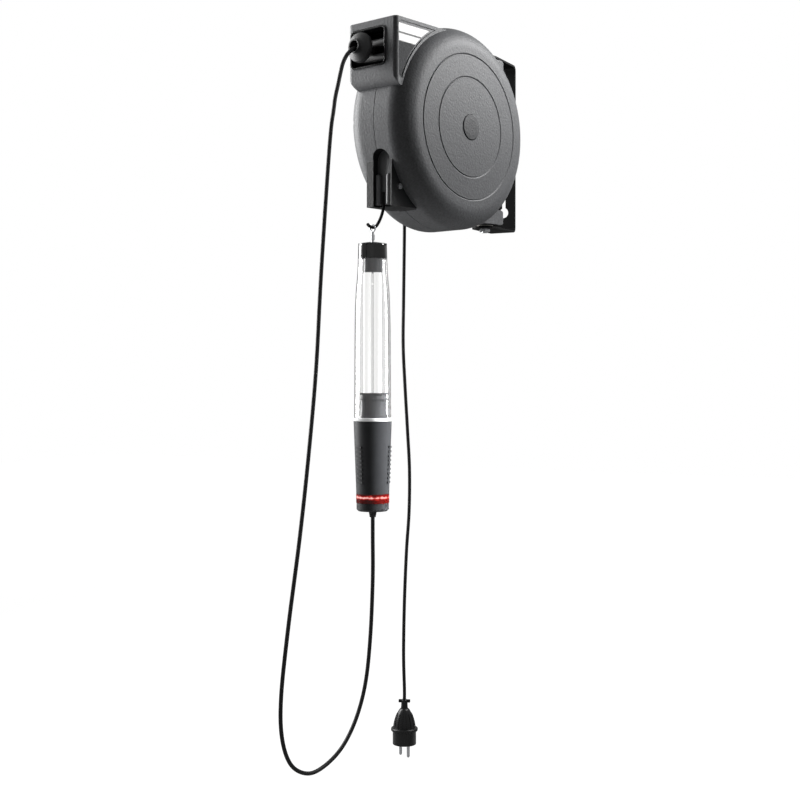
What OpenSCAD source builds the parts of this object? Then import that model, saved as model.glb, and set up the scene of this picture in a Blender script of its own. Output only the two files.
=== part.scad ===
// Wall reel with a spring-driven cord drum, a swivelling casing and a hand lamp on its cord.
// The frame's origin is on the wall, midway between the bracket's two keyholes: +Z is up, the wall
// is at y = 0 and the reel stands out towards -Y. The reel's own frame has its origin at the centre
// of the drum, +X along the drum's axle and -Y towards the cord's mouth.

/* [Placing] */
// Angle at which the casing stands on its bracket
rest_swivel = -12.6; // [-60:0.1:60]
// Height of the drum's axle above the middle of the keyholes
drum_z = 12; // [0:1:20]
// Distance from the wall to the swivel axis
pivot_out = 75; // [72:1:90]
// Distance from the swivel axis to the drum's axle
pivot_to_drum = 112; // [110:1:116]

/* [Casing] */
// Outer radius of the drum casing
casing_r = 149; // [147:1:152]
// Distance from the parting seam to each side face
casing_half_w = 58; // [58:1:62]
// Radius of the casing's rounded shoulders
shoulder_r = 32.5; // [28:0.5:33]
// Wall thickness of the two shells
wall = 3; // [2.5:0.5:3.5]
// Rise of the crowned front face at its centre
crown_h = 2; // [1:0.5:3]
// Radii of the two grooves in the front face
groove_r = [107, 73.5]; // [60:0.5:112]
// Radius of the disc in the middle of the front face
cap_r = 18.8; // [16:0.1:22]

/* [Cord mouth] */
// Distances of the mouth housing's two sides from the seam
mouth_x = [-49, 44]; // [-50:1:46]
// Distance from the axle to the mouth's front face
mouth_face = 150.5; // [150:0.5:153]
// Heights of the mouth housing's underside and top above the axle
mouth_z = [41.5, 138.5]; // [38:0.5:140]
// Width and height of the opening
opening = [67.5, 56]; // [50:0.5:68]
// Middle of the opening: side offset and height above the axle
opening_mid = [-8.75, 100.5]; // [-10:0.25:102]
// Radius of a guide roller
roller_r = 6; // [5:0.5:6]
// Radius of the stop on the cord
ball_r = 21; // [20:0.5:22]

/* [Hook] */
// Half width of the housing that holds the hook
hook_box_half_w = 24.2; // [24:0.1:25]
// Distances of that housing's front face and underside from the axle
hook_box = [137, 125]; // [120:1:140]
// Diameter of the hook's rod
hook_d = 4.5; // [4:0.5:5]

/* [Cords] */
// Diameter of the lamp's cord
lead_d = 5.7; // [5.4:0.1:6]
// Diameter of the supply cord
supply_d = 5.2; // [5:0.1:5.6]
// Loops in the outer layer on the drum
loops = 7; // [5:1:7]

/* [Lamp] */
// Distance from the drum's axle to the hanging lamp's centre line
lamp_y = 151; // [150:1:152]
// Radii of the clear tube at its top and bottom
tube_r = [20.5, 26.5]; // [18:0.5:28]
// Length of the clear tube
tube_len = 251; // [240:1:260]
// Radii of the grip at its top and bottom
grip_r = [27.5, 23.2]; // [22:0.1:29]
// Length of the grip
grip_len = 132; // [125:1:140]
// Diameter of each glass limb of the fluorescent lamp
limb_d = 12.5; // [12:0.5:13]

/* [Bracket] */
// Width of the steel strip
strip_w = 40; // [38:1:44]
// Thickness of the steel strip
strip_t = 3; // [2.5:0.5:3]
// Heights of the bracket's bottom and top faces
bracket_z = [-125, 144]; // [-130:1:150]
// Distance between the keyholes' round ends
keyhole_pitch = 184; // [180:1:200]
// Radii of a keyhole's round end and of its slot
keyhole_r = [8.25, 3.5]; // [3:0.25:9]

/* [Hidden] */
$fn = 64;

fine = 128;                 // sides of the large round forms
fit = 0.05;                 // radial clearance of a running fit
gap = 0.3;                  // clearance between pieces that only pass each other
inner_half_w = casing_half_w - wall;
cord_r = lead_d / 2;

crown_bands = 6;            // straight stretches in the crowned face's section

// Bracket
corner_r = 8;
keyhole_slot = 21;          // from the round end's middle to the slot's
flange_r = strip_w / 2;
pivot_hole_r = 5;

// Lugs on the casing, which carry the swivel
lug_r = 22;
lug_h = 23;
lug_gap = 2.8;              // between a lug and its flange, filled by the washer
lug_round = 5;
lug_root = 60;
lug_bottom = bracket_z[0] - drum_z + strip_t + lug_gap;
lug_top = bracket_z[1] - drum_z - strip_t - lug_gap;
lug_edge = 10;              // radius of a lug's outer edges, seen from the side
bush_r = 9;
pin_r = 6;
pin_tail = 6;
nut_h = 4.4;

// Casing screws, as angles round the axle from +Y towards +Z
boss_angles = [0, 75, 115, 180, 247, 318];
boss_at = 138;
boss_r = 5;
screw_r = 2;

// Mouth
mouth_round = [8, 6];       // upright corners of the housing's face
mouth_under_r = 14;
mouth_back = -20;
mouth_cut = [[15, 22], [5, 5]];     // cut corners on the inlet's side, below and above
panel = [[6.3 - mouth_face, 53.4], [-30, 133.5]];  // sunk panel on the housing's side
panel_depth = 0.8;
strip_rows = [[104.4, 10.3], [117.4, 11.9]];       // height and width of each blank strip
frame_wall = 2.5;
frame_back = 126;
ball_at = [-7, -170, 97];
ball_front = 13;            // from the stop's middle to its front
ball_neck = [5.8, 26.5];    // radius of its rear neck, and the neck's end from the middle
clamp_r = 5.5;
clamp_len = 6;
roller_off = 10.5;
roller_y = ball_at[1] + ball_neck[1]
    + sqrt(pow(roller_r + gap, 2) - pow(roller_off - ball_neck[0], 2));
axle_r = 2;
roller_x = [opening_mid[0] - opening[0] / 2 + 2.5, opening_mid[0] + opening[0] / 2 - 2.5];

// Hook housing: the arched recess in its front, and the insert in the recess
recess_half_w = 16.3;
recess_mid = hook_box_half_w - wall - recess_half_w;
recess_arch_z = -60;
insert_y = [-127.5, -124];
insert_block = [[-124, -104], [-116.5, -86]];
pillar_x = [-7.2, 13];
pillar_r = 4.2;
hook_low = -156.5;          // middle of the rod at the hook's lowest point
hook_path = [[0, -127, -104], [0, -127, -114], [0, -127, -122.5], [0, -129.3, -131.5],
    [0, -133, -140], [0, -138, -148], [0, -144, -154.4], [0, -151, hook_low], [0, -158, -154.8],
    [0, -162.5, -152.2]];
side_screw = [-120.6, -96.9];

// Drum
flange_rad = 128;
flange_t = 3;
drum_x = [-30, 20];
drum_back = drum_x[0] - flange_t;
web_x = [-8, -4];
rib_t = 3;
wheel_seat_r = 36;
flange_screw_r = 66;
lightening = [98, 12];      // holes in the front flange: distance from the axle and radius
core_r = [72, 75];
hub_r = [11, 15];
shaft_r = 8;
clip_x = [-47.4, 49.4];
wind_r = ball_at[2] - lead_d - 0.7;    // just under the cord that leaves the drum
wind_x = [drum_x[1] - cord_r - 0.2, drum_x[0] + cord_r + 0.2];
loop_rings = 24;
cup_r = 63;
cup_x = [drum_x[1] + flange_t, 47];
spring_turns = 7;
spring_t = 0.8;
spring_r = [13, 60.2];
arbor_r = 12.7;
tooth_count = 8;
tooth_r = [38, 46];
wheel_x = [-37, drum_back];
pawl_at = [32, -55.4];
pawl_turn = atan2(pawl_at[1], pawl_at[0]);
pin_dist = norm(pawl_at);
ring_x = [-44.6, -40.2];

// Rear inlet: the cover over the slip rings' wiring, and the gland under it
inlet = [[-80, -casing_half_w], [-26, 22], [-34, 34]];
supply_at = [-69, -2];
gland_low = -54;

// Lamp, downwards from its top
lamp_top = -177.4;
cap_h = 23.8;
cap_rim = [1.2, 2.4];       // heights of the cap's upright edge and of the cone above it
tube_top = lamp_top - cap_rim[0] - cap_rim[1];
tube_bottom = tube_top - tube_len;
tube_wall = 2.4;
tube_shape = [[0, 0], [0.1, 22], [0.25, 43], [0.65, 72], [0.87, 115], [0.94, 172],
    [1, tube_len - 8]];     // share of the tube's widening, and distance below its top
grip_bottom = tube_bottom + 2 - grip_len;
limb_top = lamp_top - 43.6;
limb_len = 172;
limb_off = 7.3;
limb_turn = 41;
ring_z = [grip_bottom + 12, grip_bottom + 25];
rib_rows = [-96.5, 23.5, 143.5];
rib_count = 9;
rib_pitch = 6.25;
rib_low = grip_bottom + 40.5;
eye_r = 4.8;
eye_wire = 1.1;
eye_z = hook_low + hook_d / 2 + gap - (eye_r - eye_wire);

// Plug, downwards from its strain relief
plug_top = -872;
plug_body_top = -886;
plug_rim = -917;
plug_rim_r = 20.9;
plug_body_r = 18.3;
plug_face = -942;
plug_turn = -10;            // the pins' turn about the cord
plug_pin = [2.4, 19, 19];   // radius, length and spacing

// The lamp's cord from the stop's bore to the lamp, and the supply cord from its gland to the plug
lead_route = [[-7, -161, 97], [-7, -168, 97], [-7, -175, 96], [-7, -181, 94], [-7, -187, 90.5],
    [-7, -192.5, 86], [-7, -198.5, 79.5], [-7, -205, 68.5], [-7, -209.5, 55.5],
    [-6, -216, 36.5], [-6, -221.5, 18], [-5, -226, -1], [-5, -231.5, -30], [-5, -239, -100],
    [-5, -251, -230], [-4, -262, -360], [-4, -277, -480], [-4, -294, -590], [-4, -316, -710],
    [-4, -329, -800], [-3, -328, -855], [-3, -311, -894], [-2, -280, -912], [-2, -246, -908],
    [-1, -212, -888], [-1, -184, -853], [0, -166, -805], [0, -156, -740], [0, -151, -660],
    [0, -151, -600], [0, -151, -571.3]];
supply_route = [[-69, -2, -2], [-69, -2, -30], [-69, -2, -75], [-69, -2, -140],
    [-69, -4, -250], [-69, -5, -320], [-69, -1, -380], [-69, 5, -450], [-69, 10, -515],
    [-69, 9, -580], [-69, 3, -640], [-69, -2, -720], [-69, -4, -800], [-69, -2, -855],
    [-69, -2, plug_top]];

echo(lamp_cord_mm = route_length(smooth(lead_route, 8)));
echo(supply_cord_mm = route_length(smooth(supply_route, 8)));
echo(least_gap_between_loops_mm = loop_gap());

// ---- Placing and shared shapes ----

// The reel's own frame, turned on its bracket
module on_reel() {
    translate([0, -pivot_out, drum_z]) rotate([0, 0, rest_swivel])
        translate([0, -pivot_to_drum, 0]) children();
}

// The hanging lamp's frame: z stays the reel's
module on_lamp() {
    on_reel() translate([0, -lamp_y, 0]) children();
}

// A flat outline in (y, z), from x0 to x1
module along_x(x0, x1) {
    translate([x0, 0, 0]) rotate([90, 0, 90]) linear_extrude(x1 - x0) children();
}

// An outline in (radius, x), turned round the axle
module round_x(sides = fine) {
    rotate([90, 0, 90]) rotate_extrude($fn = sides) children();
}

module rod_x(r, x0, x1, y = 0, z = 0) {
    translate([x0, y, z]) rotate([90, 0, 90]) cylinder(r = r, h = x1 - x0);
}

// A rectangle in (radius, x), and the ring that it turns into
module band(r0, r1, x0, x1) {
    translate([r0, x0]) square([r1 - r0, x1 - x0]);
}

module ring_x(r0, r1, x0, x1) {
    round_x() band(r0, r1, x0, x1);
}

// A rectangle from a to b with round corners
module rounded(a, b, r) {
    translate([a[0] + r, a[1]]) square([b[0] - a[0] - 2 * r, b[1] - a[1]]);
    translate([a[0], a[1] + r]) square([b[0] - a[0], b[1] - a[1] - 2 * r]);
    for (x = [a[0] + r, b[0] - r], y = [a[1] + r, b[1] - r]) translate([x, y]) circle(r);
}

// Points of a smooth curve through the route, n to each stretch
function along(p, i, t) =
    let (a = p[max(i - 1, 0)], b = p[i], c = p[i + 1], d = p[min(i + 2, len(p) - 1)])
    0.5 * (2 * b + (c - a) * t + (2 * a - 5 * b + 4 * c - d) * t * t
        + (3 * b - a - 3 * c + d) * t * t * t);
function smooth(p, n) =
    [for (i = [0 : len(p) - 2], k = [0 : n - 1]) along(p, i, k / n), p[len(p) - 1]];
function route_length(p) = sum([for (i = [1 : len(p) - 1]) norm(p[i] - p[i - 1])]);
function sum(v, i = 0) = i == len(v) ? 0 : v[i] + sum(v, i + 1);
function unit(v) = v / norm(v);
function heading(p, i) = unit(p[min(i + 1, len(p) - 1)] - p[max(i - 1, 0)]);

// A round tube swept along points that never run along X
module cord(p, r, sides) {
    rings = [for (i = [0 : len(p) - 1])
        let (t = heading(p, i), u = unit(cross(t, [1, 0, 0])), v = cross(t, u))
        for (k = [0 : sides - 1])
            p[i] + r * (cos(360 * k / sides) * u + sin(360 * k / sides) * v)];
    last = (len(p) - 1) * sides;
    walls = [for (i = [0 : len(p) - 2], k = [0 : sides - 1])
        let (a = i * sides + k, b = i * sides + (k + 1) % sides)
        each [[a, b, a + sides], [b, b + sides, a + sides]]];
    ends = [for (k = [1 : sides - 2]) each [[0, k + 1, k], [last, last + k, last + k + 1]]];
    polyhedron(points = rings, faces = concat(walls, ends), convexity = 10);
}

// ---- Bracket and swivel ----

module wall_bracket() color("#1b1c1e") {
    difference() {
        intersection() {
            along_x(-flange_r, flange_r) strip_outline();
            translate([0, 0, bracket_z[0]]) linear_extrude(bracket_z[1] - bracket_z[0]) {
                translate([-flange_r, -pivot_out]) square([strip_w, pivot_out]);
                translate([0, -pivot_out]) circle(flange_r);
            }
        }
        for (z = [-keyhole_pitch / 2, keyhole_pitch / 2]) translate([0, 1, z]) keyhole();
        translate([0, -pivot_out, bracket_z[0] - 1])
            cylinder(r = pivot_hole_r, h = bracket_z[1] - bracket_z[0] + 2);
    }
}

// Side view of the bent strip: a wall plate with a flange at each end
module strip_outline() {
    difference() {
        strip_side(0, corner_r);
        strip_side(strip_t, corner_r - strip_t);
    }
}

module strip_side(inset, r) {
    reach = pivot_out + flange_r + (inset > 0 ? 1 : 0);
    low = bracket_z[0] + inset;
    high = bracket_z[1] - inset;
    translate([-reach, low]) square([reach - inset - r, high - low]);
    translate([-reach, low + r]) square([reach - inset, high - low - 2 * r]);
    for (z = [low + r, high - r]) translate([-inset - r, z]) circle(r);
}

module keyhole() {
    rotate([90, 0, 0]) {
        cylinder(r = keyhole_r[0], h = strip_t + 2);
        translate([0, keyhole_slot, 0]) cylinder(r = keyhole_r[1], h = strip_t + 2);
        translate([-keyhole_r[1], 0, 0]) cube([2 * keyhole_r[1], keyhole_slot, strip_t + 2]);
    }
}

// Places its child at the lower swivel point, and mirrored at the upper one
module both_pivots() {
    middle = (bracket_z[0] + bracket_z[1]) / 2;
    translate([0, -pivot_out, middle]) for (m = [0, 1]) mirror([0, 0, m])
        translate([0, 0, bracket_z[0] - middle]) children();
}

module pivot_pins() color("#8d9094") both_pivots() {
    translate([0, 0, -pin_tail]) cylinder(r = pivot_hole_r, h = pin_tail + strip_t);
    translate([0, 0, strip_t]) cylinder(r = pin_r, h = 20 + lug_gap);
}

module pivot_nuts() color("#8d9094") both_pivots() {
    translate([0, 0, -nut_h]) difference() {
        cylinder(r = 9.2, h = nut_h, $fn = 6);
        translate([0, 0, -1]) cylinder(r = pivot_hole_r, h = nut_h + 2);
    }
}

module pivot_washers() color("#d8d8d4") both_pivots() {
    translate([0, 0, strip_t]) difference() {
        cylinder(r = 13, h = lug_gap - 0.2);
        translate([0, 0, -1]) cylinder(r = pin_r, h = 5);
    }
}

module pivot_bushes() color("#e6e4dc") both_pivots() {
    translate([0, 0, strip_t + lug_gap]) difference() {
        cylinder(r = bush_r, h = lug_h - 2);
        translate([0, 0, -1]) cylinder(r = pin_r + fit, h = lug_h);
    }
}

// ---- Casing ----

// Half of the drum casing's section, in (radius, distance from the seam)
module half_section(r, w, shoulder, crown) {
    flat = r - shoulder;
    square([r, w - shoulder]);
    square([flat, w]);
    intersection() {
        translate([flat, w - shoulder]) circle(shoulder, $fn = fine);
        translate([flat, w - shoulder]) square(shoulder + 1);
    }
    polygon(concat([[0, w - 1], [flat, w - 1]],
        [for (i = [crown_bands : -1 : 0]) [flat * i / crown_bands,
            w + crown * (1 - pow(i / crown_bands, 2))]]));
}

module drum_form(r, w, shoulder, crown) {
    round_x() half_section(r, w, shoulder, crown);
    round_x() mirror([0, 1]) half_section(r, w, shoulder, 0);
}

// The mouth housing, drawn in by an inset for its inside
module mouth_form(inset) {
    low = mouth_z[0] + inset;
    high = mouth_z[1] - inset;
    front = -mouth_face + inset;
    under = mouth_under_r - inset;
    intersection() {
        translate([0, 0, low]) linear_extrude(high - low)
            mouth_plan(mouth_x[0] + inset, mouth_x[1] - inset, front, mouth_round[0] - inset,
                mouth_round[1] - inset);
        translate([0, mouth_back, 0]) rotate([90, 0, 0]) linear_extrude(mouth_back - front)
            mouth_front(mouth_x[0] + inset, mouth_x[1] - inset, low, high);
        along_x(mouth_x[0], mouth_x[1]) {
            translate([front + under, low]) square([mouth_back - front - under, high - low]);
            translate([front, low + under]) square([mouth_back - front, high - low - under]);
            translate([front + under, low + under]) circle(under);
        }
    }
}

module mouth_plan(x0, x1, front, r0, r1) {
    translate([x0 + r0, front]) square([x1 - r1 - x0 - r0, mouth_back - front]);
    translate([x0, front + r0]) square([r0 + 1, mouth_back - front - r0]);
    translate([x1 - r1 - 1, front + r1]) square([r1 + 1, mouth_back - front - r1]);
    translate([x0 + r0, front + r0]) circle(r0);
    translate([x1 - r1, front + r1]) circle(r1);
}

module mouth_front(x0, x1, low, high) {
    polygon([[x0, low + mouth_cut[0][1]], [x0 + mouth_cut[0][0], low], [x1, low], [x1, high],
        [x0 + mouth_cut[1][0], high], [x0, high - mouth_cut[1][1]]]);
}

module hook_box_form(inset) {
    w = hook_box_half_w - inset;
    translate([-w, -hook_box[0] + inset, -hook_box[1] + inset])
        cube([2 * w, hook_box[0] - 60 - inset, 80]);
}

module lug_form(z) {
    end = pivot_to_drum + lug_r;
    intersection() {
        translate([0, 0, z]) linear_extrude(lug_h) {
            translate([-lug_r, lug_root]) square([2 * lug_r, end - lug_round - lug_root]);
            rounded([-lug_r, pivot_to_drum], [lug_r, end], lug_round);
        }
        along_x(-lug_r, lug_r) rounded([lug_root - lug_edge, z], [end, z + lug_h], lug_edge);
    }
}

module casing_outside() {
    drum_form(casing_r, casing_half_w, shoulder_r, crown_h);
    mouth_form(0);
    hook_box_form(0);
    lug_form(lug_bottom);
    lug_form(lug_top - lug_h);
}

module casing_inside() {
    drum_form(casing_r - wall, inner_half_w, shoulder_r - wall, 0);
    mouth_form(wall);
    intersection() {
        hook_box_form(wall);
        translate([-50, insert_y[1], -200]) cube([100, 200, 200]);
    }
}

// The arched recess for the hook, right through the shell
module recess_outline(r) {
    translate([recess_mid - r, -130]) square([2 * r, recess_arch_z + 130]);
    translate([recess_mid, recess_arch_z]) circle(r);
}

module recess(r) {
    translate([0, insert_y[1], 0]) rotate([90, 0, 0]) linear_extrude(160 + insert_y[1])
        recess_outline(r);
}

module opening_hole(y0, y1, shrink) {
    translate([0, y1, 0]) rotate([90, 0, 0]) linear_extrude(y1 - y0)
        rounded([opening_mid[0] - opening[0] / 2 + shrink, opening_mid[1] - opening[1] / 2 + shrink],
            [opening_mid[0] + opening[0] / 2 - shrink, opening_mid[1] + opening[1] / 2 - shrink],
            8 - shrink);
}

module at_bosses() {
    for (a = boss_angles) translate([0, boss_at * cos(a), boss_at * sin(a)]) children();
}

// The whole casing wall, before it is split at the seam
module shell() {
    difference() {
        union() {
            difference() {
                casing_outside();
                casing_inside();
            }
            intersection() {
                casing_outside();
                union() {
                    at_bosses() rod_x(boss_r, -casing_half_w, casing_half_w);
                    rod_x(13, -casing_half_w, -48);
                    rod_x(13, 50, casing_half_w);
                    recess(recess_half_w + wall);
                }
            }
        }
        recess(recess_half_w);
        opening_hole(-160, -frame_back, 0);
        ring_x(casing_r - 0.7, casing_r + 2, -0.5, 0.5);
        rod_x(shaft_r, -56, 55);
        translate([0, pivot_to_drum, lug_bottom - 1]) cylinder(r = bush_r, h = lug_h - 1);
        translate([0, pivot_to_drum, lug_top - lug_h + 2]) cylinder(r = bush_r, h = lug_h - 1);
        side_screw_holes();
    }
}

module side_screw_holes() {
    for (x = [-30, 10]) rod_x(screw_r, x, x + 20, side_screw[0], side_screw[1]);
}

module front_casing() color("#4b4c4e") on_reel() {
    difference() {
        intersection() {
            shell();
            translate([0, -200, -200]) cube([100, 400, 400]);
        }
        for (r = groove_r) face_groove(r, crown_at(r));
        rod_x(cap_r + 0.6, casing_half_w + 0.8, 70);
        at_bosses() rod_x(screw_r, -1, 16);
        side_panel();
    }
    along_x(mouth_x[1] - wall / 2, mouth_x[1] + 0.8) intersection() {
        rounded(panel[0], panel[1], 5);
        difference() {
            circle(casing_r - 1.5, $fn = fine);
            circle(casing_r - 3, $fn = fine);
        }
    }
}

// A groove with a steep inner side and a sloping outer one, at a face that stands x from the seam
module face_groove(r, x) {
    round_x() polygon([[r - 0.8, x + 5], [r - 0.8, x - 1.1], [r, x - 1.1], [r + 2.2, x + 0.2],
        [r + 2.2, x + 5]]);
}

// Height of the crowned face over the seam at radius r
function crown_at(r) = casing_half_w + crown_h * (1 - pow(r / (casing_r - shoulder_r), 2));

// The sunk three-cornered panel on the side of the mouth housing
module side_panel() {
    along_x(mouth_x[1] - panel_depth, 60) difference() {
        rounded(panel[0], panel[1], 5);
        circle(casing_r - 1.5, $fn = fine);
    }
}

module rear_casing() color("#4b4c4e") on_reel() {
    difference() {
        intersection() {
            shell();
            translate([-100, -200, -200]) cube([100, 400, 400]);
        }
        at_bosses() {
            rod_x(screw_r + 0.3, -50, 1);
            rod_x(4.5, -70, -40);
        }
        rod_x(7, -60, -50, 0, -22);
        at_inlet_screws() rod_x(1.5, -60, -54);
        rod_x(3, -49, -40, pawl_at[0], pawl_at[1]);
    }
    difference() {
        rod_x(6, -inner_half_w, -41, pawl_at[0], pawl_at[1]);
        rod_x(3, -49, -40, pawl_at[0], pawl_at[1]);
    }
}

module centre_cap() color("#3b3c3e") on_reel()
    round_x() polygon([[0, casing_half_w + 0.8], [cap_r, casing_half_w + 0.8],
        [cap_r, casing_half_w + 2.6], [cap_r - 0.8, casing_half_w + 3.2],
        [cap_r - 7, casing_half_w + 3.5], [0, casing_half_w + 3.5]]);

module casing_screws() color("#a4a6a8") on_reel() at_bosses() difference() {
    union() {
        rod_x(screw_r, -41, 14);
        rod_x(4.2, -43, -40);
    }
    rod_x(1.6, -44, -42);
}

module label_strips() color("#e8e8e6") on_reel()
    along_x(mouth_x[1] - panel_depth, mouth_x[1] - panel_depth / 2) for (row = strip_rows)
        difference() {
            translate([panel[0][0] + gap, row[0]]) square([110, row[1]]);
            circle(casing_r + 1.5, $fn = fine);
        }

// ---- Cord mouth ----

module mouth_frame() color("#2a2b2d") on_reel() difference() {
    opening_hole(-mouth_face - 1.5, -frame_back, 0);
    opening_hole(-mouth_face - 3, -frame_back + 1, frame_wall);
    for (s = [-1, 1]) rod_x(axle_r, -60, 60, roller_y, ball_at[2] + s * roller_off);
}

module at_roller(s) {
    translate([0, roller_y, ball_at[2] + s * roller_off]) children();
}

module roller(s) {
    on_reel() at_roller(s) difference() {
        rod_x(roller_r, roller_x[0], roller_x[1]);
        rod_x(axle_r + fit, roller_x[0] - 1, roller_x[1] + 1);
    }
}

module upper_roller() color("#2b2c2e") roller(1);
module lower_roller() color("#2b2c2e") roller(-1);

module roller_axles() color("#9a9c9e") on_reel() for (s = [-1, 1]) at_roller(s)
    rod_x(axle_r, opening_mid[0] - opening[0] / 2, opening_mid[0] + opening[0] / 2);

// The stop's bore has a pocket for the clamp and flares out in front, where the cord bends down
module ball_stop() color("#242527") on_reel() translate(ball_at) rotate([90, 0, 0])
    rotate_extrude($fn = fine) polygon([[cord_r, -ball_neck[1]], [ball_neck[0], -ball_neck[1]],
        [ball_neck[0], -14], [9, -10], [17, -6.5], [ball_r - 0.8, -4.5], [ball_r, -3], [ball_r, 1.5],
        [ball_r - 1, 3.5], [15, 6], [11.5, 7.5], [9.8, 9], [9.4, ball_front], [7.7, ball_front],
        [clamp_r, 0], [clamp_r, -clamp_len], [cord_r, -clamp_len]]);

module cord_clamp() color("#2f3032") on_reel() translate(ball_at) rotate([90, 0, 0])
    translate([0, 0, -clamp_len]) difference() {
        cylinder(r = clamp_r, h = clamp_len - 0.5);
        translate([0, 0, -1]) cylinder(r = cord_r + 0.1, h = clamp_len + 2);
    }

// The stretch from the drum into the ball stop
module feed_cord() color("#1a1a1b") on_reel()
    cord([[-24, -4, 97], [-24, -12, 97], [-22, -40, 97], [-16, -80, 97], [-10, -112, 97],
        [ball_at[0], -132, 97], [ball_at[0], -139, 97], lead_route[0]], cord_r - 0.05, 8);

// ---- Hook ----

module hook_holder() color("#1f2022") on_reel() difference() {
    union() {
        difference() {
            translate([0, insert_y[1], 0]) rotate([90, 0, 0])
                linear_extrude(insert_y[1] - insert_y[0]) recess_outline(recess_half_w);
            translate([-30, -150, -140]) cube([60, 60, 140 - hook_box[1] + wall]);
        }
        translate([wall - hook_box_half_w, insert_block[0][0], insert_block[0][1]])
            cube([2 * (hook_box_half_w - wall), insert_block[1][0] - insert_block[0][0],
                insert_block[1][1] - insert_block[0][1]]);
        for (x = pillar_x) translate([x, -130, wall - hook_box[1]]) {
            cylinder(r = pillar_r, h = 40);
            translate([0, 0, 40]) sphere(r = pillar_r);
        }
    }
    translate([0, -127, -140]) cylinder(r = hook_d / 2 + gap, h = 36);
    side_screw_holes();
}

module hook_rod() color("#141415") on_reel() cord(smooth(hook_path, 3), hook_d / 2, 12);

module hook_screws() color("#b9babc") on_reel() for (s = [0, 1]) mirror([s, 0, 0])
    translate([0, side_screw[0], side_screw[1]]) difference() {
        union() {
            rod_x(screw_r, 12, hook_box_half_w);
            rod_x(4.2, hook_box_half_w, hook_box_half_w + 2.4);
        }
        along_x(hook_box_half_w + 1.4, hook_box_half_w + 3) {
            translate([-3, -0.5]) square([6, 1]);
            translate([-0.5, -3]) square([1, 6]);
        }
    }

// ---- Axle and return spring ----

module main_shaft() color("#aaacae") on_reel() difference() {
    rod_x(shaft_r, -56, 55);
    for (x = clip_x) ring_x(shaft_r - 0.8, shaft_r + 1, x - 0.5, x + 0.5);
}

module shaft_rings() color("#5a5c5e") on_reel() for (x = clip_x) difference() {
    ring_x(shaft_r - 0.8, shaft_r + 2.4, x - 0.5, x + 0.5);
    translate([x - 1, -2, 3]) cube([2, 4, 12]);
}

module spring_arbor() color("#77797b") on_reel() difference() {
    ring_x(shaft_r, arbor_r, cup_x[0] + 3, cup_x[1] - 2);
    translate([20, 4, 8]) cube([30, 4, 10]);
}

// A flat steel strip wound from the arbor out to the cup
module return_spring() color("#6d7073") on_reel() {
    steps = spring_turns * 24;
    line = [for (i = [0 : steps]) let (r = spring_r[0] + (spring_r[1] - spring_r[0]) * i / steps,
        a = 360 * i / 24) [r * cos(a), r * sin(a)]];
    outer = [for (i = [0 : steps]) line[i] * (1 + spring_t / norm(line[i]))];
    along_x(cup_x[0] + 2, cup_x[1] - 3)
        polygon(concat(line, [for (i = [0 : steps]) outer[steps - i]]));
}

module spring_cup() color("#8f9295") on_reel() difference() {
    round_x() {
        band(cup_r - 2, cup_r, cup_x[0], cup_x[1]);
        band(16, cup_r, cup_x[0], cup_x[0] + 1.2);
        band(cup_r - 1, cup_r + 6, cup_x[0], cup_x[0] + 2);
    }
    at_flange_screws() rod_x(screw_r, 0, 40);
}

module spring_cover() color("#8f9295") on_reel()
    ring_x(12, cup_r, cup_x[1], cup_x[1] + 1.5);

// ---- Drum ----

module at_flange_screws() {
    for (a = [20 : 60 : 320])
        translate([0, flange_screw_r * cos(a), flange_screw_r * sin(a)]) children();
}

module drum_core() color("#55585b") on_reel() difference() {
    union() {
        round_x() {
            band(core_r[0], core_r[1], drum_back, drum_x[1]);
            band(core_r[0], flange_rad, drum_back, drum_x[0]);
            band(hub_r[0], hub_r[1], drum_back, drum_x[1]);
            band(hub_r[0], wheel_seat_r, drum_back, drum_x[0]);
            band(hub_r[0], core_r[1] - 1, web_x[0], web_x[1]);
        }
        for (a = [50 : 60 : 350]) rotate([a, 0, 0])
            translate([drum_x[0] - 0.5, hub_r[1] - 1, -rib_t / 2])
                cube([drum_x[1] - drum_x[0] + 0.5, core_r[0] - hub_r[1] + 2, rib_t]);
        at_flange_screws() rod_x(6.8, web_x[0], drum_x[1]);
    }
    at_flange_screws() rod_x(screw_r, -2, 40);
}

module front_flange() color("#5d6063") on_reel() difference() {
    ring_x(hub_r[0], flange_rad, drum_x[1], drum_x[1] + flange_t);
    at_flange_screws() rod_x(screw_r, 0, 40);
    for (a = [0 : 45 : 315])
        rod_x(lightening[1], 0, 40, lightening[0] * cos(a), lightening[0] * sin(a));
}

module flange_screws() color("#b9babc") on_reel() at_flange_screws() {
    rod_x(screw_r, 2, cup_x[0] + 2);
    rod_x(3, cup_x[0] + 2, cup_x[0] + 4);
}

module hub_bushes() color("#c9a45c") on_reel() {
    for (x = [drum_back, drum_x[1] - 9])
        ring_x(shaft_r + fit, hub_r[0], x, x + 12);
}

module cord_layers() color("#1d1d1e") on_reel()
    ring_x(core_r[1], wind_r * cos(180 / loop_rings) - cord_r - 0.2, drum_x[0], drum_x[1]);

// The outer layer: one tube, wound from the front flange to the rear one
function winding(n) =
    [for (i = [0 : n * loop_rings]) let (a = 90 - 360 * (n * loop_rings - i) / loop_rings,
        x = wind_x[0] + (wind_x[1] - wind_x[0]) * i / (n * loop_rings))
        [x, wind_r * cos(a), wind_r * sin(a)]];
function loop_gap() =
    let (p = winding(2))
    min([for (i = [0 : loop_rings], k = [loop_rings - 3 : loop_rings]) norm(p[i] - p[i + k])
        * (wind_x[0] - wind_x[1]) / loops / (norm(p[0] - p[loop_rings]))]) - lead_d;

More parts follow.
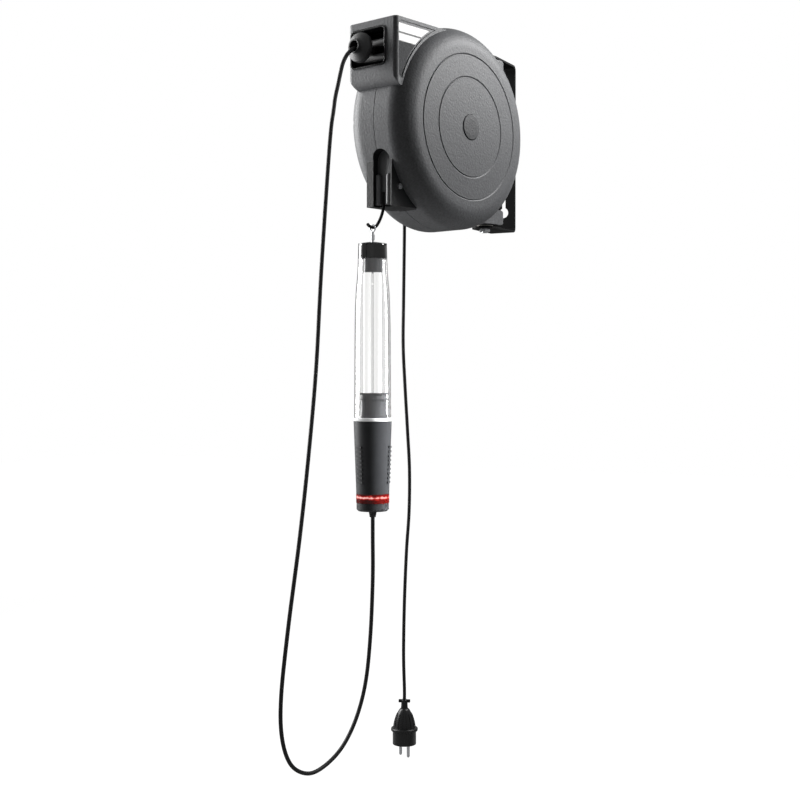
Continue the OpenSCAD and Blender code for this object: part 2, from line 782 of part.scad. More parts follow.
module wound_cord() color("#18181a") on_reel() {
    p = winding(loops);
    n = len(p) - 1;
    start = p[0] - lead_d * unit([0, p[1][1] - p[0][1], p[1][2] - p[0][2]]);
    end = p[n] + lead_d * unit([0, p[n][1] - p[n - 1][1], p[n][2] - p[n - 1][2]]);
    cord(concat([start], p, [end]), cord_r - 0.02, 6);
}

// Saw-tooth outline of the ratchet wheel
module ratchet_outline() {
    pitch = 360 / tooth_count;
    polygon([for (i = [0 : tooth_count - 1]) each [
        polar(tooth_r[1], i * pitch), polar(tooth_r[1] - 2.5, i * pitch + pitch * 0.4),
        polar(tooth_r[0], i * pitch + pitch * 0.75), polar(tooth_r[0], i * pitch + pitch)]]);
}
function polar(r, a) = [r * cos(a), r * sin(a)];

module ratchet_wheel() color("#9b9da0") on_reel() difference() {
    along_x(wheel_x[0], wheel_x[1]) rotate(pawl_turn + 39) ratchet_outline();
    rod_x(30, wheel_x[0] - 1, wheel_x[1] + 1);
}

// The pawl's arm, drawn with its pin below the wheel's centre
module pawl_arm() {
    tip = polar(tooth_r[1] + 1.2, -58);
    back = polar(tooth_r[1] + 1.6, -64);
    polygon([[-4, -pin_dist + 5], [3, -pin_dist + 6.2], back, tip, tip + [3.2, -1.2],
        [16, -pin_dist + 12], [6, -pin_dist - 3]]);
}

module pawl() color("#8a8c8f") on_reel() difference() {
    union() {
        along_x(wheel_x[0], wheel_x[1] - 0.6) rotate(pawl_turn + 90) pawl_arm();
        rod_x(7, wheel_x[0], wheel_x[1] - 0.6, pawl_at[0], pawl_at[1]);
    }
    rod_x(3 + fit, -50, -20, pawl_at[0], pawl_at[1]);
}

module pawl_pin() color("#aaacae") on_reel() {
    rod_x(3, -49, wheel_x[1] - 0.5, pawl_at[0], pawl_at[1]);
}

module pawl_spring() color("#b4b6b8") on_reel() {
    turns = 3;
    coil_r = 3.6;
    p = [for (i = [0 : turns * 12]) let (a = 360 * i / 12)
        [-40.4 + 0.08 * i, pawl_at[0] + coil_r * cos(a), pawl_at[1] + coil_r * sin(a)]];
    cord(p, 0.4, 6);
}

// ---- Slip rings ----

module ring_carrier() color("#c8c2b0") on_reel()
    ring_x(shaft_r + gap, 16, -46, drum_back);

module slip_rings() color("#c08a3e") on_reel() for (x = ring_x)
    ring_x(16, 19, x - 1.2, x + 1.2);

module brush_holder() color("#33353a") on_reel() difference() {
    translate([-inner_half_w, -8, 20]) cube([17.6, 16, 22]);
    for (x = ring_x) translate([x - 1.6, -3, 19]) cube([3.2, 6, 18]);
}

module brushes() color("#3d3d3f") on_reel() for (x = ring_x)
    translate([x - 1.5, -2.9, 19 + fit]) cube([3, 5.8, 16]);

// ---- Supply inlet, cord and plug ----

module at_inlet_screws() {
    for (y = [inlet[1][0] + 5, inlet[1][1] - 5], z = [inlet[2][0] + 5, inlet[2][1] - 5])
        translate([0, y, z]) children();
}

module inlet_cover() color("#3f4042") on_reel() difference() {
    union() {
        along_x(inlet[0][0] + 3, inlet[0][1])
            rounded([inlet[1][0], inlet[2][0]], [inlet[1][1], inlet[2][1]], 8);
        along_x(inlet[0][0], inlet[0][0] + 3)
            rounded([inlet[1][0] + 2, inlet[2][0] + 2], [inlet[1][1] - 2, inlet[2][1] - 2], 7);
    }
    difference() {
        along_x(inlet[0][0] + wall, inlet[0][1] + 1)
            rounded([inlet[1][0] + 2.5, inlet[2][0] + 2.5], [inlet[1][1] - 2.5, inlet[2][1] - 2.5], 6);
        at_inlet_screws() rod_x(4.5, inlet[0][0], inlet[0][1] + 2);
    }
    at_inlet_screws() rod_x(1.5, inlet[0][0] - 1, inlet[0][1] + 1);
    translate([supply_at[0], supply_at[1], inlet[2][0] - 1]) cylinder(r = 6, h = 5);
}

module inlet_screws() color("#a4a6a8") on_reel() at_inlet_screws() {
    rod_x(1.5, inlet[0][0], -54);
    rod_x(3, inlet[0][0] - 2, inlet[0][0]);
}

module terminal_block() color("#d8d6ce") on_reel() difference() {
    translate([-73, -12, -2]) cube([15, 20, 12]);
    for (y = [-7, 3]) translate([-74, y, 4]) rotate([0, 90, 0]) cylinder(r = 2, h = 12);
}

module supply_gland() color("#232426") on_reel() translate([supply_at[0], supply_at[1], 0])
    difference() {
        union() {
            translate([0, 0, inlet[2][0] - 1]) cylinder(r = 6, h = 5);
            translate([0, 0, inlet[2][0] - 5]) cylinder(r = 9, h = 5);
            translate([0, 0, gland_low]) cylinder(r1 = 4.6, r2 = 7, h = 15);
        }
        translate([0, 0, gland_low - 1]) cylinder(r = supply_d / 2, h = 30);
    }

module supply_cord() color("#161617") on_reel() {
    cord(smooth(supply_route, 2), supply_d / 2, 8);
}

module on_plug() {
    on_reel() translate([supply_at[0], supply_at[1], 0]) rotate([0, 0, plug_turn]) children();
}

// Cross-shaped sleeve where the cord enters the plug
module plug_relief() color("#1d1e1f") on_plug() {
    translate([0, 0, plug_body_top]) cylinder(r1 = 5.7, r2 = 5, h = plug_top - plug_body_top);
    for (a = [45, 135]) rotate([0, 0, a]) translate([-9, -1.7, plug_top - 5]) cube([18, 3.4, 5]);
}

module plug_body() color("#1c1d1e") on_plug() {
    rotate_extrude() difference() {
        polygon([[0, plug_body_top], [6, plug_body_top], [8.5, plug_body_top - 2],
            [12.5, plug_body_top - 12], [16.8, plug_rim + 2], [plug_rim_r, plug_rim],
            [plug_rim_r, plug_rim - 4], [plug_body_r, plug_rim - 5.5], [plug_body_r, plug_face],
            [0, plug_face]]);
        translate([20.4, plug_body_top - 10]) circle(7.2);
    }
    for (a = [0 : 30 : 330]) rotate([0, 0, a]) translate([11, -1, plug_rim - 1])
        cube([6.6, 2, 12]);
}

module plug_pins() color("#c9cacc") on_plug() for (s = [-1, 1])
    translate([s * plug_pin[2] / 2, 0, plug_face - plug_pin[1]]) {
        translate([0, 0, 2]) cylinder(r = plug_pin[0], h = plug_pin[1] - 2);
        cylinder(r1 = plug_pin[0] - 1, r2 = plug_pin[0], h = 2);
    }

// ---- Hand lamp ----

module lamp_eye() color("#b5b7b9") on_lamp() {
    translate([0, 0, eye_z]) rotate([90, 0, 0])
        rotate_extrude($fn = 48) translate([eye_r, 0]) circle(eye_wire, $fn = 24);
    translate([0, 0, lamp_top - 2.5]) cylinder(r = 2, h = eye_z - eye_r - lamp_top + 2.5);
    translate([0, 0, lamp_top + 3]) cylinder(r = 3, h = 7.5);
    translate([0, 0, lamp_top - 5.5]) cylinder(r = 5, h = 3);
}

module lamp_cap() color("#202123") on_lamp() difference() {
    union() {
        translate([0, 0, lamp_top - cap_h])
            cylinder(r = tube_r[0] - tube_wall, h = cap_h - cap_rim[1]);
        translate([0, 0, tube_top]) cylinder(r = tube_r[0], h = cap_rim[0]);
        translate([0, 0, tube_top + cap_rim[0]]) cylinder(r1 = tube_r[0], r2 = 6, h = cap_rim[1]);
        translate([0, 0, limb_top]) cylinder(r = 13.8, h = 20);
    }
    translate([0, 0, lamp_top - 3]) cylinder(r = 2 + fit, h = 5);
    translate([0, 0, lamp_top - 9]) cylinder(r = 5 + gap, h = 6.6);
    on_limbs() translate([0, 0, limb_top - 1]) cylinder(r = limb_d / 2, h = 9);
}

// The tube is drawn down its outside, round its foot in the grip and up its inside
module clear_tube() color("#dfe6e8", 0.35) on_lamp() {
    outside = [for (p = tube_shape) [tube_r[0] + p[0] * (tube_r[1] - tube_r[0]), tube_top - p[1]]];
    last = len(outside) - 1;
    rotate_extrude() polygon(concat(outside, [[tube_r[1] + 1, tube_bottom + 7],
        [tube_r[1] + 1, tube_bottom + 2], [tube_r[1] - 1.5, tube_bottom + 2],
        [tube_r[1] - 1.5, tube_bottom], [tube_r[1] - 3.5, tube_bottom],
        [tube_r[1] - 3.5, tube_bottom + 8]],
        [for (i = [last - 1 : -1 : 2]) outside[i] - [tube_wall, 0]],
        [[tube_r[0] - tube_wall, lamp_top - cap_h + 0.6], [tube_r[0] - tube_wall, tube_top]]));
}

module on_limbs() {
    rotate([0, 0, limb_turn]) for (s = [-1, 1]) translate([s * limb_off, 0, 0]) children();
}

module lamp_limbs() color("#f6f7f4") on_lamp() {
    on_limbs() translate([0, 0, limb_top - limb_len]) cylinder(r = limb_d / 2, h = limb_len + 8);
    rotate([0, 0, limb_turn]) translate([-limb_off, 0, limb_top - 16]) rotate([0, 90, 0])
        cylinder(r = 2.5, h = 2 * limb_off);
}

module lamp_socket() color("#2b2c2e") on_lamp() difference() {
    union() {
        translate([0, 0, limb_top - limb_len - 32]) cylinder(r = 19.3, h = 32);
        for (z = [2, 10]) translate([0, 0, limb_top - limb_len - z]) cylinder(r = 22.8, h = 2);
        translate([0, 0, tube_bottom - 8]) cylinder(r = 21, h = 16);
    }
    on_limbs() translate([0, 0, limb_top - limb_len]) cylinder(r = limb_d / 2, h = 1);
}

// The ballast's circuit board, up to the socket, with its coil and its capacitors
module ballast() color("#4f7a52") on_lamp() {
    low = grip_bottom + 33;
    translate([-20.9, -1, low]) cube([41.8, 2, tube_bottom - 8 - low]);
    translate([-12, 0, low + 10]) cube([24, 11, 22]);
    translate([-9, 0, low + 40]) cube([18, 8, 34]);
    for (x = [-9, 9]) translate([x, -6.5, low + 14]) cylinder(r = 6, h = 24);
}

module lamp_grip() color("#2c2d2f") on_lamp() difference() {
    union() {
        rotate_extrude() polygon([[0, grip_bottom], [grip_r[1] - 2.5, grip_bottom],
            [grip_r[1], grip_bottom + 2.5], [grip_r[1], ring_z[0]], [grip_r[1] - 1.2, ring_z[0]],
            [grip_r[1] - 1.2, ring_z[1]], [grip_r[1] + 0.4, ring_z[1]],
            [grip_r[0], tube_bottom + 2], [0, tube_bottom + 2]]);
        for (a = rib_rows, i = [0 : rib_count - 1])
            rotate([0, 0, a]) grip_rib(rib_low + i * rib_pitch);
    }
    translate([0, 0, grip_bottom + 3]) cylinder(r1 = grip_r[1] - 4, r2 = 21, h = 30);
    translate([0, 0, grip_bottom + 32]) cylinder(r = 21, h = grip_len);
    translate([0, 0, tube_bottom]) cylinder(r = tube_r[1] - 1.5, h = 10);
    translate([0, 0, grip_bottom - 1]) cylinder(r = 6, h = 10);
}

module grip_rib(z) {
    share = (z - ring_z[1]) / (tube_bottom + 2 - ring_z[1]);
    translate([22, -5.3, z]) cube([grip_r[1] + share * (grip_r[0] - grip_r[1]) - 21, 10.6, 2.6]);
}

module red_ring() color("#c8201a") on_lamp() translate([0, 0, ring_z[0]]) difference() {
    cylinder(r = grip_r[1] + 0.5, h = ring_z[1] - ring_z[0]);
    translate([0, 0, -1]) cylinder(r = grip_r[1] - 1.2, h = 20);
}

module lamp_gland() color("#1e1f20") on_lamp() difference() {
    union() {
        translate([0, 0, grip_bottom]) cylinder(r = 6, h = 3);
        translate([0, 0, grip_bottom + 3]) cylinder(r = 8, h = 3);
        translate([0, 0, grip_bottom - 9]) cylinder(r1 = 4.4, r2 = 6, h = 9);
    }
    translate([0, 0, grip_bottom - 10]) cylinder(r = cord_r, h = 20);
}

module lamp_lead() color("#161617") on_reel() {
    cord(smooth(lead_route, 2), cord_r, 8);
}

wall_bracket();
pivot_pins();
pivot_washers();
pivot_nuts();
pivot_bushes();
front_casing();
rear_casing();
centre_cap();
casing_screws();
label_strips();
mouth_frame();
roller_axles();
upper_roller();
lower_roller();
feed_cord();
ball_stop();
cord_clamp();
hook_holder();
hook_rod();
hook_screws();
main_shaft();
shaft_rings();
spring_arbor();
return_spring();
spring_cup();
spring_cover();
drum_core();
front_flange();
flange_screws();
hub_bushes();
cord_layers();
wound_cord();
ratchet_wheel();
pawl();
pawl_pin();
pawl_spring();
ring_carrier();
slip_rings();
brush_holder();
brushes();
inlet_cover();
inlet_screws();
terminal_block();
supply_gland();
supply_cord();
plug_relief();
plug_body();
plug_pins();
lamp_eye();
lamp_cap();
clear_tube();
lamp_limbs();
lamp_socket();
ballast();
lamp_grip();
red_ring();
lamp_gland();
lamp_lead();
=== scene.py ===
"""Cords, lamp, plug, finishes and studio of a wall-mounted cord reel with a hand lamp."""

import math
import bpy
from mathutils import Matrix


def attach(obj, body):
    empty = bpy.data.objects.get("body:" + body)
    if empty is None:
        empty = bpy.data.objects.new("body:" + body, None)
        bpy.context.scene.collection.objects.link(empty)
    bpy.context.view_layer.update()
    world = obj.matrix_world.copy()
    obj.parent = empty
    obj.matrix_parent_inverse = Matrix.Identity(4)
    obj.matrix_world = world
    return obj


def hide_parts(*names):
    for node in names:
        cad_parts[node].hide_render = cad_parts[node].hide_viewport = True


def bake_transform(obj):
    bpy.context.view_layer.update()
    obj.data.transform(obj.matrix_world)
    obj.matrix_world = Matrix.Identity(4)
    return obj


bl_info = {
    "name": "Cord reel with hand lamp",
    "version": (1, 0, 0),
    "blender": (4, 5, 0),
    "location": "3D View > Sidebar > Cord reel",
    "description": "Cords, lamp, plug, finishes and studio of a wall-mounted cord reel",
    "category": "Add Mesh",
}

import bmesh
import bpy
from mathutils import Matrix, Vector

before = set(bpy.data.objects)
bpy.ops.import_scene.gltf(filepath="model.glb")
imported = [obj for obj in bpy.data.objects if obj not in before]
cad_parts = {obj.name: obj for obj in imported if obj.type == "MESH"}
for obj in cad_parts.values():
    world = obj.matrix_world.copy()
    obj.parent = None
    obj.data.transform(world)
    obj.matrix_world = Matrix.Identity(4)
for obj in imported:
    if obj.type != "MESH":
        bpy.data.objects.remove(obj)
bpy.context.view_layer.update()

MM = 0.001

# Millimetres in the reel's own frame (drum centre, +X along the axle, -Y towards the mouth),
# in the frame of the hanging lamp and in that of the plug, all to metres in the row frame
SWIVEL, REEL_TURN = (0, -0.075, 0.012), math.radians(-12.6)
SWIVEL_TO_DRUM = (0, -0.112, 0)
LAMP_PLACE = (0, -151, 0)
PLUG_PLACE, PLUG_TURN = (-69, -2, 0), math.radians(-10)
REEL = (
    Matrix.Translation(SWIVEL)
    @ Matrix.Rotation(REEL_TURN, 4, "Z")
    @ Matrix.Translation(SWIVEL_TO_DRUM)
    @ Matrix.Scale(MM, 4)
)
LAMP = REEL @ Matrix.Translation(LAMP_PLACE)
PLUG = REEL @ Matrix.Translation(PLUG_PLACE) @ Matrix.Rotation(PLUG_TURN, 4, "Z")

# Heights in the row frame, in metres: the foot of the lamp's cap and the middle of its red ring
CAP_FOOT, RING_MIDDLE = -0.1892, -0.53

# From here on, sizes are in millimetres of the reel's, the lamp's or the plug's frame, unless a
# comment says otherwise.
# The drum's radius; the hook recess's side offset, arch centre below the axle and radius; and the
# height and the depth that the painted shade on the hook housing stays below and in front of
DRUM_R = 149.3
RECESS_MIDDLE, RECESS_ARCH, RECESS_R = 4.9, 60, 16.6
PAINTED_SHADE_TOP, PAINTED_SHADE_BACK = -40, -79


def linear(code):
    """The linear colour of an sRGB hex value such as "4A4B4D"."""
    parts = [int(code[i : i + 2], 16) / 255 for i in (0, 2, 4)]
    return [c / 12.92 if c <= 0.04045 else ((c + 0.055) / 1.055) ** 2.4 for c in parts]


# ---- What a user would change ----

COLOUR = {"subtype": "COLOR", "size": 3, "min": 0, "max": 1}


class ReelSizes(bpy.types.PropertyGroup):
    """Sizes of the cords and the number of the plug's ribs"""

    lamp_cord: bpy.props.FloatProperty(
        name="Lamp cord",
        description="Diameter of the cord from the ball stop to the lamp",
        default=0.0057,
        min=0.0045,
        max=0.006,
        unit="LENGTH",
    )
    supply_cord: bpy.props.FloatProperty(
        name="Supply cord",
        description="Diameter of the cord from the rear gland to the plug",
        default=0.0052,
        min=0.0045,
        max=0.0056,
        unit="LENGTH",
    )
    plug_ribs: bpy.props.IntProperty(
        name="Plug ribs", description="Ribs round the plug's bell", default=14, min=6, max=24
    )


class ReelColours(bpy.types.PropertyGroup):
    """Colours of the finishes"""

    casing: bpy.props.FloatVectorProperty(
        name="Casing",
        description="Moulded shells of the reel",
        default=linear("626365"),
        **COLOUR,
    )
    trim: bpy.props.FloatVectorProperty(
        name="Dark trim",
        description="Mouth frame, rear inlet cover and brush holder",
        default=linear("18191A"),
        **COLOUR,
    )
    jacket: bpy.props.FloatVectorProperty(
        name="Cord jacket",
        description="Outer jacket of both cords",
        default=linear("0C0C0D"),
        **COLOUR,
    )
    grip: bpy.props.FloatVectorProperty(
        name="Grip",
        description="Soft grip of the lamp",
        default=linear("38393B"),
        **COLOUR,
    )
    ring: bpy.props.FloatVectorProperty(
        name="Ring",
        description="Clear red ring near the grip's end",
        default=linear("560A07"),
        **COLOUR,
    )


# ---- Nodes ----


def add(tree, kind, settings=None, links=None):
    """Adds a node, with its properties and with its inputs as values or as sockets."""
    node = tree.nodes.new(kind)
    for name, value in (settings or {}).items():
        setattr(node, name, value)
    for name, value in (links or {}).items():
        if isinstance(value, bpy.types.NodeSocket):
            tree.links.new(value, node.inputs[name])
        else:
            node.inputs[name].default_value = value
    return node


def maths(tree, operation, *values):
    """The result of a math node on values or sockets."""
    node = add(tree, "ShaderNodeMath", {"operation": operation}, dict(enumerate(values)))
    return node.outputs["Value"]


def mixed(tree, factor, first, second):
    """The colour between two colours or sockets, the node's inputs 6 and 7."""
    inputs = {"Factor": factor, 6: first, 7: second}
    return add(tree, "ShaderNodeMix", {"data_type": "RGBA"}, inputs).outputs[2]


def mixed_shaders(tree, factor, first, second):
    """The shader between two shaders."""
    inputs = {0: factor, 1: first, 2: second}
    return add(tree, "ShaderNodeMixShader", None, inputs).outputs["Shader"]


def graded(tree, level, stops):
    """The colour at a level of a ramp with stops of (place, colour)."""
    ramp = add(tree, "ShaderNodeValToRGB", None, {"Fac": level})
    elements = ramp.color_ramp.elements
    while len(elements) < len(stops):
        elements.new(0.5)
    for element, (place, colour) in zip(elements, stops):
        element.position = place
        element.color = (*colour, 1)
    return ramp.outputs["Color"]


def clouds(tree, where, size_mm, **inputs):
    """Noise in patches of about size_mm."""
    links = {"Vector": where, "Scale": 1 / (size_mm * MM), **inputs}
    return add(tree, "ShaderNodeTexNoise", None, links).outputs["Fac"]


def turned_away(tree):
    """How far a face turns away from the view: 0 face on, 1 at the outline."""
    return add(tree, "ShaderNodeLayerWeight", None, {"Blend": 0.5}).outputs["Facing"]


def height_of(tree, where):
    """The Z of a place."""
    return add(tree, "ShaderNodeSeparateXYZ", None, {"Vector": where}).outputs["Z"]


def scaled(colour, share):
    """A colour made darker or lighter."""
    return [min(1, c * share) for c in colour]


def finish(name, colour, roughness, **shader):
    """A new material, with its tree, its main shader and its Object coordinates."""
    made = bpy.data.materials.new(name)
    made.use_nodes = True
    tree = made.node_tree
    skin = tree.nodes["Principled BSDF"]
    skin.inputs["Base Color"].default_value = (*colour, 1)
    skin.inputs["Roughness"].default_value = roughness
    for key, value in shader.items():
        skin.inputs[key.replace("_", " ").title().replace("Ior", "IOR")].default_value = value
    where = add(tree, "ShaderNodeTexCoord").outputs["Object"]
    return made, tree, skin, where


def vary(tree, skin, where, colour, size_mm, spread):
    """Base colour that drifts a little, in patches of about size_mm."""
    cloud = clouds(tree, where, size_mm, Detail=3.0)
    stops = ((0.3, scaled(colour, 1 - spread)), (0.7, scaled(colour, 1 + spread)))
    tree.links.new(graded(tree, cloud, stops), skin.inputs["Base Color"])


def grain(tree, skin, where, size_mm, depth_mm, normal=None):
    """Fine raised grain of about size_mm, depth_mm high."""
    noise = clouds(tree, where, size_mm, Detail=2.0, Roughness=0.6)
    bump = add(tree, "ShaderNodeBump", None, {"Height": noise, "Distance": depth_mm * MM})
    if normal:
        tree.links.new(normal, bump.inputs["Normal"])
    tree.links.new(bump.outputs["Normal"], skin.inputs["Normal"])


def soft_edges(tree, radius_mm):
    """Normals that round the sharp edges of a moulded or bent piece."""
    bevel = add(tree, "ShaderNodeBevel", {"samples": 4}, {"Radius": radius_mm * MM})
    return bevel.outputs["Normal"]


def new_tree(name, inputs):
    """An empty geometry tree with named inputs, and its two end nodes."""
    tree = bpy.data.node_groups.new(name, "GeometryNodeTree")
    tree.interface.new_socket("Geometry", in_out="INPUT", socket_type="NodeSocketGeometry")
    for label, kind in inputs.items():
        tree.interface.new_socket(label, in_out="INPUT", socket_type=kind)
    tree.interface.new_socket("Geometry", in_out="OUTPUT", socket_type="NodeSocketGeometry")
    return tree, add(tree, "NodeGroupInput"), add(tree, "NodeGroupOutput")


def end_tree(tree, geometry, material, out):
    """Ends a geometry tree with real geometry in its material."""
    real = add(tree, "GeometryNodeRealizeInstances", None, {"Geometry": geometry})
    inputs = {"Geometry": real.outputs["Geometry"], "Material": material}
    done = add(tree, "GeometryNodeSetMaterial", None, inputs)
    tree.links.new(done.outputs["Geometry"], out.inputs["Geometry"])


# ---- Meshes ----


def in_scene(name, data):
    """A new object of the scene, from a mesh, a camera or a light."""
    made = bpy.data.objects.new(name, data)
    bpy.context.scene.collection.objects.link(made)
    return made


def shade_by_angle(mesh, degrees):
    """Smooth shading across edges up to an angle."""
    mesh.polygons.foreach_set("use_smooth", [True] * len(mesh.polygons))
    mesh.set_sharp_from_angle(angle=math.radians(degrees))
    mesh.update()


def mesh_object(name, verts, faces, material, smooth=35, place=None):
    """A closed mesh as a new object at the origin, its place in its mesh."""
    mesh = bpy.data.meshes.new(name)
    mesh.from_pydata(verts, [], faces)
    if place is not None:
        mesh.transform(place)
    closed = bmesh.new()
    closed.from_mesh(mesh)
    bmesh.ops.remove_doubles(closed, verts=closed.verts, dist=1e-7)
    bmesh.ops.recalc_face_normals(closed, faces=closed.faces)
    closed.to_mesh(mesh)
    closed.free()
    mesh.materials.append(material)
    shade_by_angle(mesh, smooth)
    return in_scene(name, mesh)


def prism_faces(n):
    """Faces of a prism whose two n-sided ends are listed one after the other."""
    sides = [(k, (k + 1) % n, n + (k + 1) % n, n + k) for k in range(n)]
    return [tuple(range(n)), tuple(range(n, 2 * n)), *sides]


def turned(name, profile, material, place, steps=96, smooth=35):
    """A solid turned about Z from its closed outline in (radius, z), in millimetres."""
    verts, faces, rings = [], [], []
    for r, z in profile:
        if r < 1e-6:
            rings.append([len(verts)])
            verts.append((0, 0, z))
        else:
            rings.append(list(range(len(verts), len(verts) + steps)))
            for k in range(steps):
                a = 2 * math.pi * k / steps
                verts.append((r * math.cos(a), r * math.sin(a), z))
    for a, b in zip(rings, rings[1:] + rings[:1]):
        if len(a) == 1 and len(b) == 1:
            continue
        for k in range(steps):
            n = (k + 1) % steps
            if len(a) == 1:
                faces.append((a[0], b[n], b[k]))
            elif len(b) == 1:
                faces.append((a[k], a[n], b[0]))
            else:
                faces.append((a[k], a[n], b[n], b[k]))
    return mesh_object(name, verts, faces, material, smooth, place)


def smooth_route(points, n):
    """Points of the smooth curve through a route, n to each stretch."""
    p = [Vector(q) for q in points]
    made = []
    for i in range(len(p) - 1):
        a, b, c, d = p[max(i - 1, 0)], p[i], p[i + 1], p[min(i + 2, len(p) - 1)]
        slope = c - a
        bend = 2 * a - 5 * b + 4 * c - d
        twist = 3 * b - a - 3 * c + d
        for k in range(n):
            t = k / n
            made.append(0.5 * (2 * b + slope * t + bend * t * t + twist * t * t * t))
    return made + [p[-1]]


def swept(name, path, radius, side, material, sides=32, ends=()):
    """A closed tube along a path that never runs along side.

    The ends are the shares of the radius at the path's last points, the very last one first.
    """
    radii = [radius] * len(path)
    for i, share in enumerate(ends):
        radii[-1 - i] = radius * share
    turns = [2 * math.pi * k / sides for k in range(sides)]
    verts, faces = [], []
    for i, (p, r) in enumerate(zip(path, radii)):
        along = (path[min(i + 1, len(path) - 1)] - path[max(i - 1, 0)]).normalized()
        u = along.cross(Vector(side)).normalized()
        v = along.cross(u)
        verts += [p + r * (math.cos(a) * u + math.sin(a) * v) for a in turns]
    for i in range(len(path) - 1):
        a, b = i * sides, (i + 1) * sides
        for k in range(sides):
            n = (k + 1) % sides
            faces.append((a + k, a + n, b + n, b + k))
    last = (len(path) - 1) * sides
    faces += [tuple(range(sides)), tuple(range(last, last + sides))]
    return mesh_object(name, verts, faces, material, 50)


def evaluated(made, tree, inputs, name):
    """Runs a geometry tree on an object and returns its result as a plain piece."""
    step = made.modifiers.new("tree", "NODES")
    step.node_group = tree
    for item in tree.interface.items_tree:
        if item.item_type == "SOCKET" and item.in_out == "INPUT" and item.name in inputs:
            step[item.identifier] = inputs[item.name]
    bpy.context.view_layer.update()
    graph = bpy.context.evaluated_depsgraph_get()
    mesh = bpy.data.meshes.new_from_object(made.evaluated_get(graph))
    bpy.data.objects.remove(made)
    mesh.name = name
    shade_by_angle(mesh, 40)
    return in_scene(name, mesh)


def fitted(piece, body, node):
    """Puts a piece on its body, in place of a node of the frame."""
    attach(piece, body)
    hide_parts(node)


# ---- Finishes ----


def moulded_abs(name, colour):
    """ABS from a spark-eroded mould: an even, fine leathery grain with a soft sheen."""
    made, tree, skin, where = finish(name, colour, 0.5, Specular_IOR_Level=0.3)
    # The real grain is about 0.6 mm; it is drawn at 3 mm to show
    vary(tree, skin, where, colour, 3, 0.16)
    grain(tree, skin, where, 3, 0.45, normal=soft_edges(tree, 0.3))
    return made


def abs_with_painted_shade(name, colour, dark):
    """The same grained ABS, with painted shade: a darker grey low at the front round the hook and
    in its recess.
    """
    made = moulded_abs(name, colour)
    tree = made.node_tree
    base = tree.nodes["Principled BSDF"].inputs["Base Color"]
    where = add(tree, "ShaderNodeTexCoord").outputs["Object"]
    reel = add(
        tree,
        "ShaderNodeMapping",
        {"vector_type": "TEXTURE"},
        {"Vector": where, "Location": REEL.translation, "Rotation": (0, 0, REEL_TURN)},
    )
    x, y, z = add(tree, "ShaderNodeSeparateXYZ", None, {"Vector": reel.outputs["Vector"]}).outputs

    def distance(a, b):
        squares = maths(tree, "ADD", maths(tree, "MULTIPLY", a, a), maths(tree, "MULTIPLY", b, b))
        return maths(tree, "SQRT", squares)

    # Painted shade lies outside the drum's own radius, or within the round-topped recess
    past_drum = maths(tree, "GREATER_THAN", distance(y, z), DRUM_R * MM)
    beside = maths(tree, "SUBTRACT", x, RECESS_MIDDLE * MM)
    above = maths(tree, "MAXIMUM", maths(tree, "ADD", z, RECESS_ARCH * MM), 0)
    in_recess = maths(tree, "LESS_THAN", distance(beside, above), RECESS_R * MM)
    shaped = maths(tree, "MAXIMUM", past_drum, in_recess)
    # and only low down at the casing's front
    low = maths(tree, "LESS_THAN", z, PAINTED_SHADE_TOP * MM)
    front = maths(tree, "LESS_THAN", y, PAINTED_SHADE_BACK * MM)
    painted_shade_mask = maths(tree, "MULTIPLY", shaped, maths(tree, "MULTIPLY", low, front))
    # Painted shade: the dark grey goes on these shadowed places
    tree.links.new(mixed(tree, painted_shade_mask, base.links[0].from_socket, (*dark, 1)), base)
    return made


def smooth_abs(name, colour, roughness=0.22):
    """ABS from a polished mould: smoother and glossier than the grained shells."""
    made, tree, skin, where = finish(name, colour, roughness, IOR=1.53)
    vary(tree, skin, where, colour, 9, 0.05)
    grain(tree, skin, where, 2.5, 0.02, normal=soft_edges(tree, 0.6))
    return made


def powder_coat(name, colour):
    """Polyester powder coat on steel strip: nearly black, with a slight orange peel."""
    made, tree, skin, where = finish(name, colour, 0.55, Specular_IOR_Level=0.12)
    vary(tree, skin, where, colour, 20, 0.08)
    grain(tree, skin, where, 1.8, 0.04, normal=soft_edges(tree, 0.4))
    return made


def zinc_plate(name, colour):
    """Bright zinc plate on turned steel: cool grey, with faint turning marks."""
    made, tree, skin, where = finish(name, colour, 0.34, Metallic=0.85)
    vary(tree, skin, where, colour, 4, 0.1)
    grain(tree, skin, where, 0.8, 0.02)
    return made


def spring_steel(name, colour):
    """Rolled strip, oiled: darker than the plated parts, with a long soft sheen."""
    made, tree, skin, where = finish(name, colour, 0.36, Metallic=1.0)
    vary(tree, skin, where, colour, 12, 0.12)
    return made


def sintered_bronze(name, colour):
    """Pressed and sintered bronze: dull gold, with open pores."""
    made, tree, skin, where = finish(name, colour, 0.5, Metallic=1.0)
    vary(tree, skin, where, colour, 2, 0.15)
    grain(tree, skin, where, 0.9, 0.05)
    return made


def cord_jacket(name, colour):
    """Extruded rubber jacket: dull black, with slow changes of tone along its length."""
    made, tree, skin, where = finish(name, colour, 0.5, Specular_IOR_Level=0.3)
    vary(tree, skin, where, colour, 25, 0.1)
    return made


def moulded_rubber(name, colour, roughness, gloss=0.5):
    """Moulded thermoplastic rubber: dull, with a fine even skin."""
    made, tree, skin, where = finish(name, colour, roughness, IOR=1.5, Specular_IOR_Level=gloss)
    vary(tree, skin, where, colour, 10, 0.07)
    grain(tree, skin, where, 1.2, 0.06)
    return made


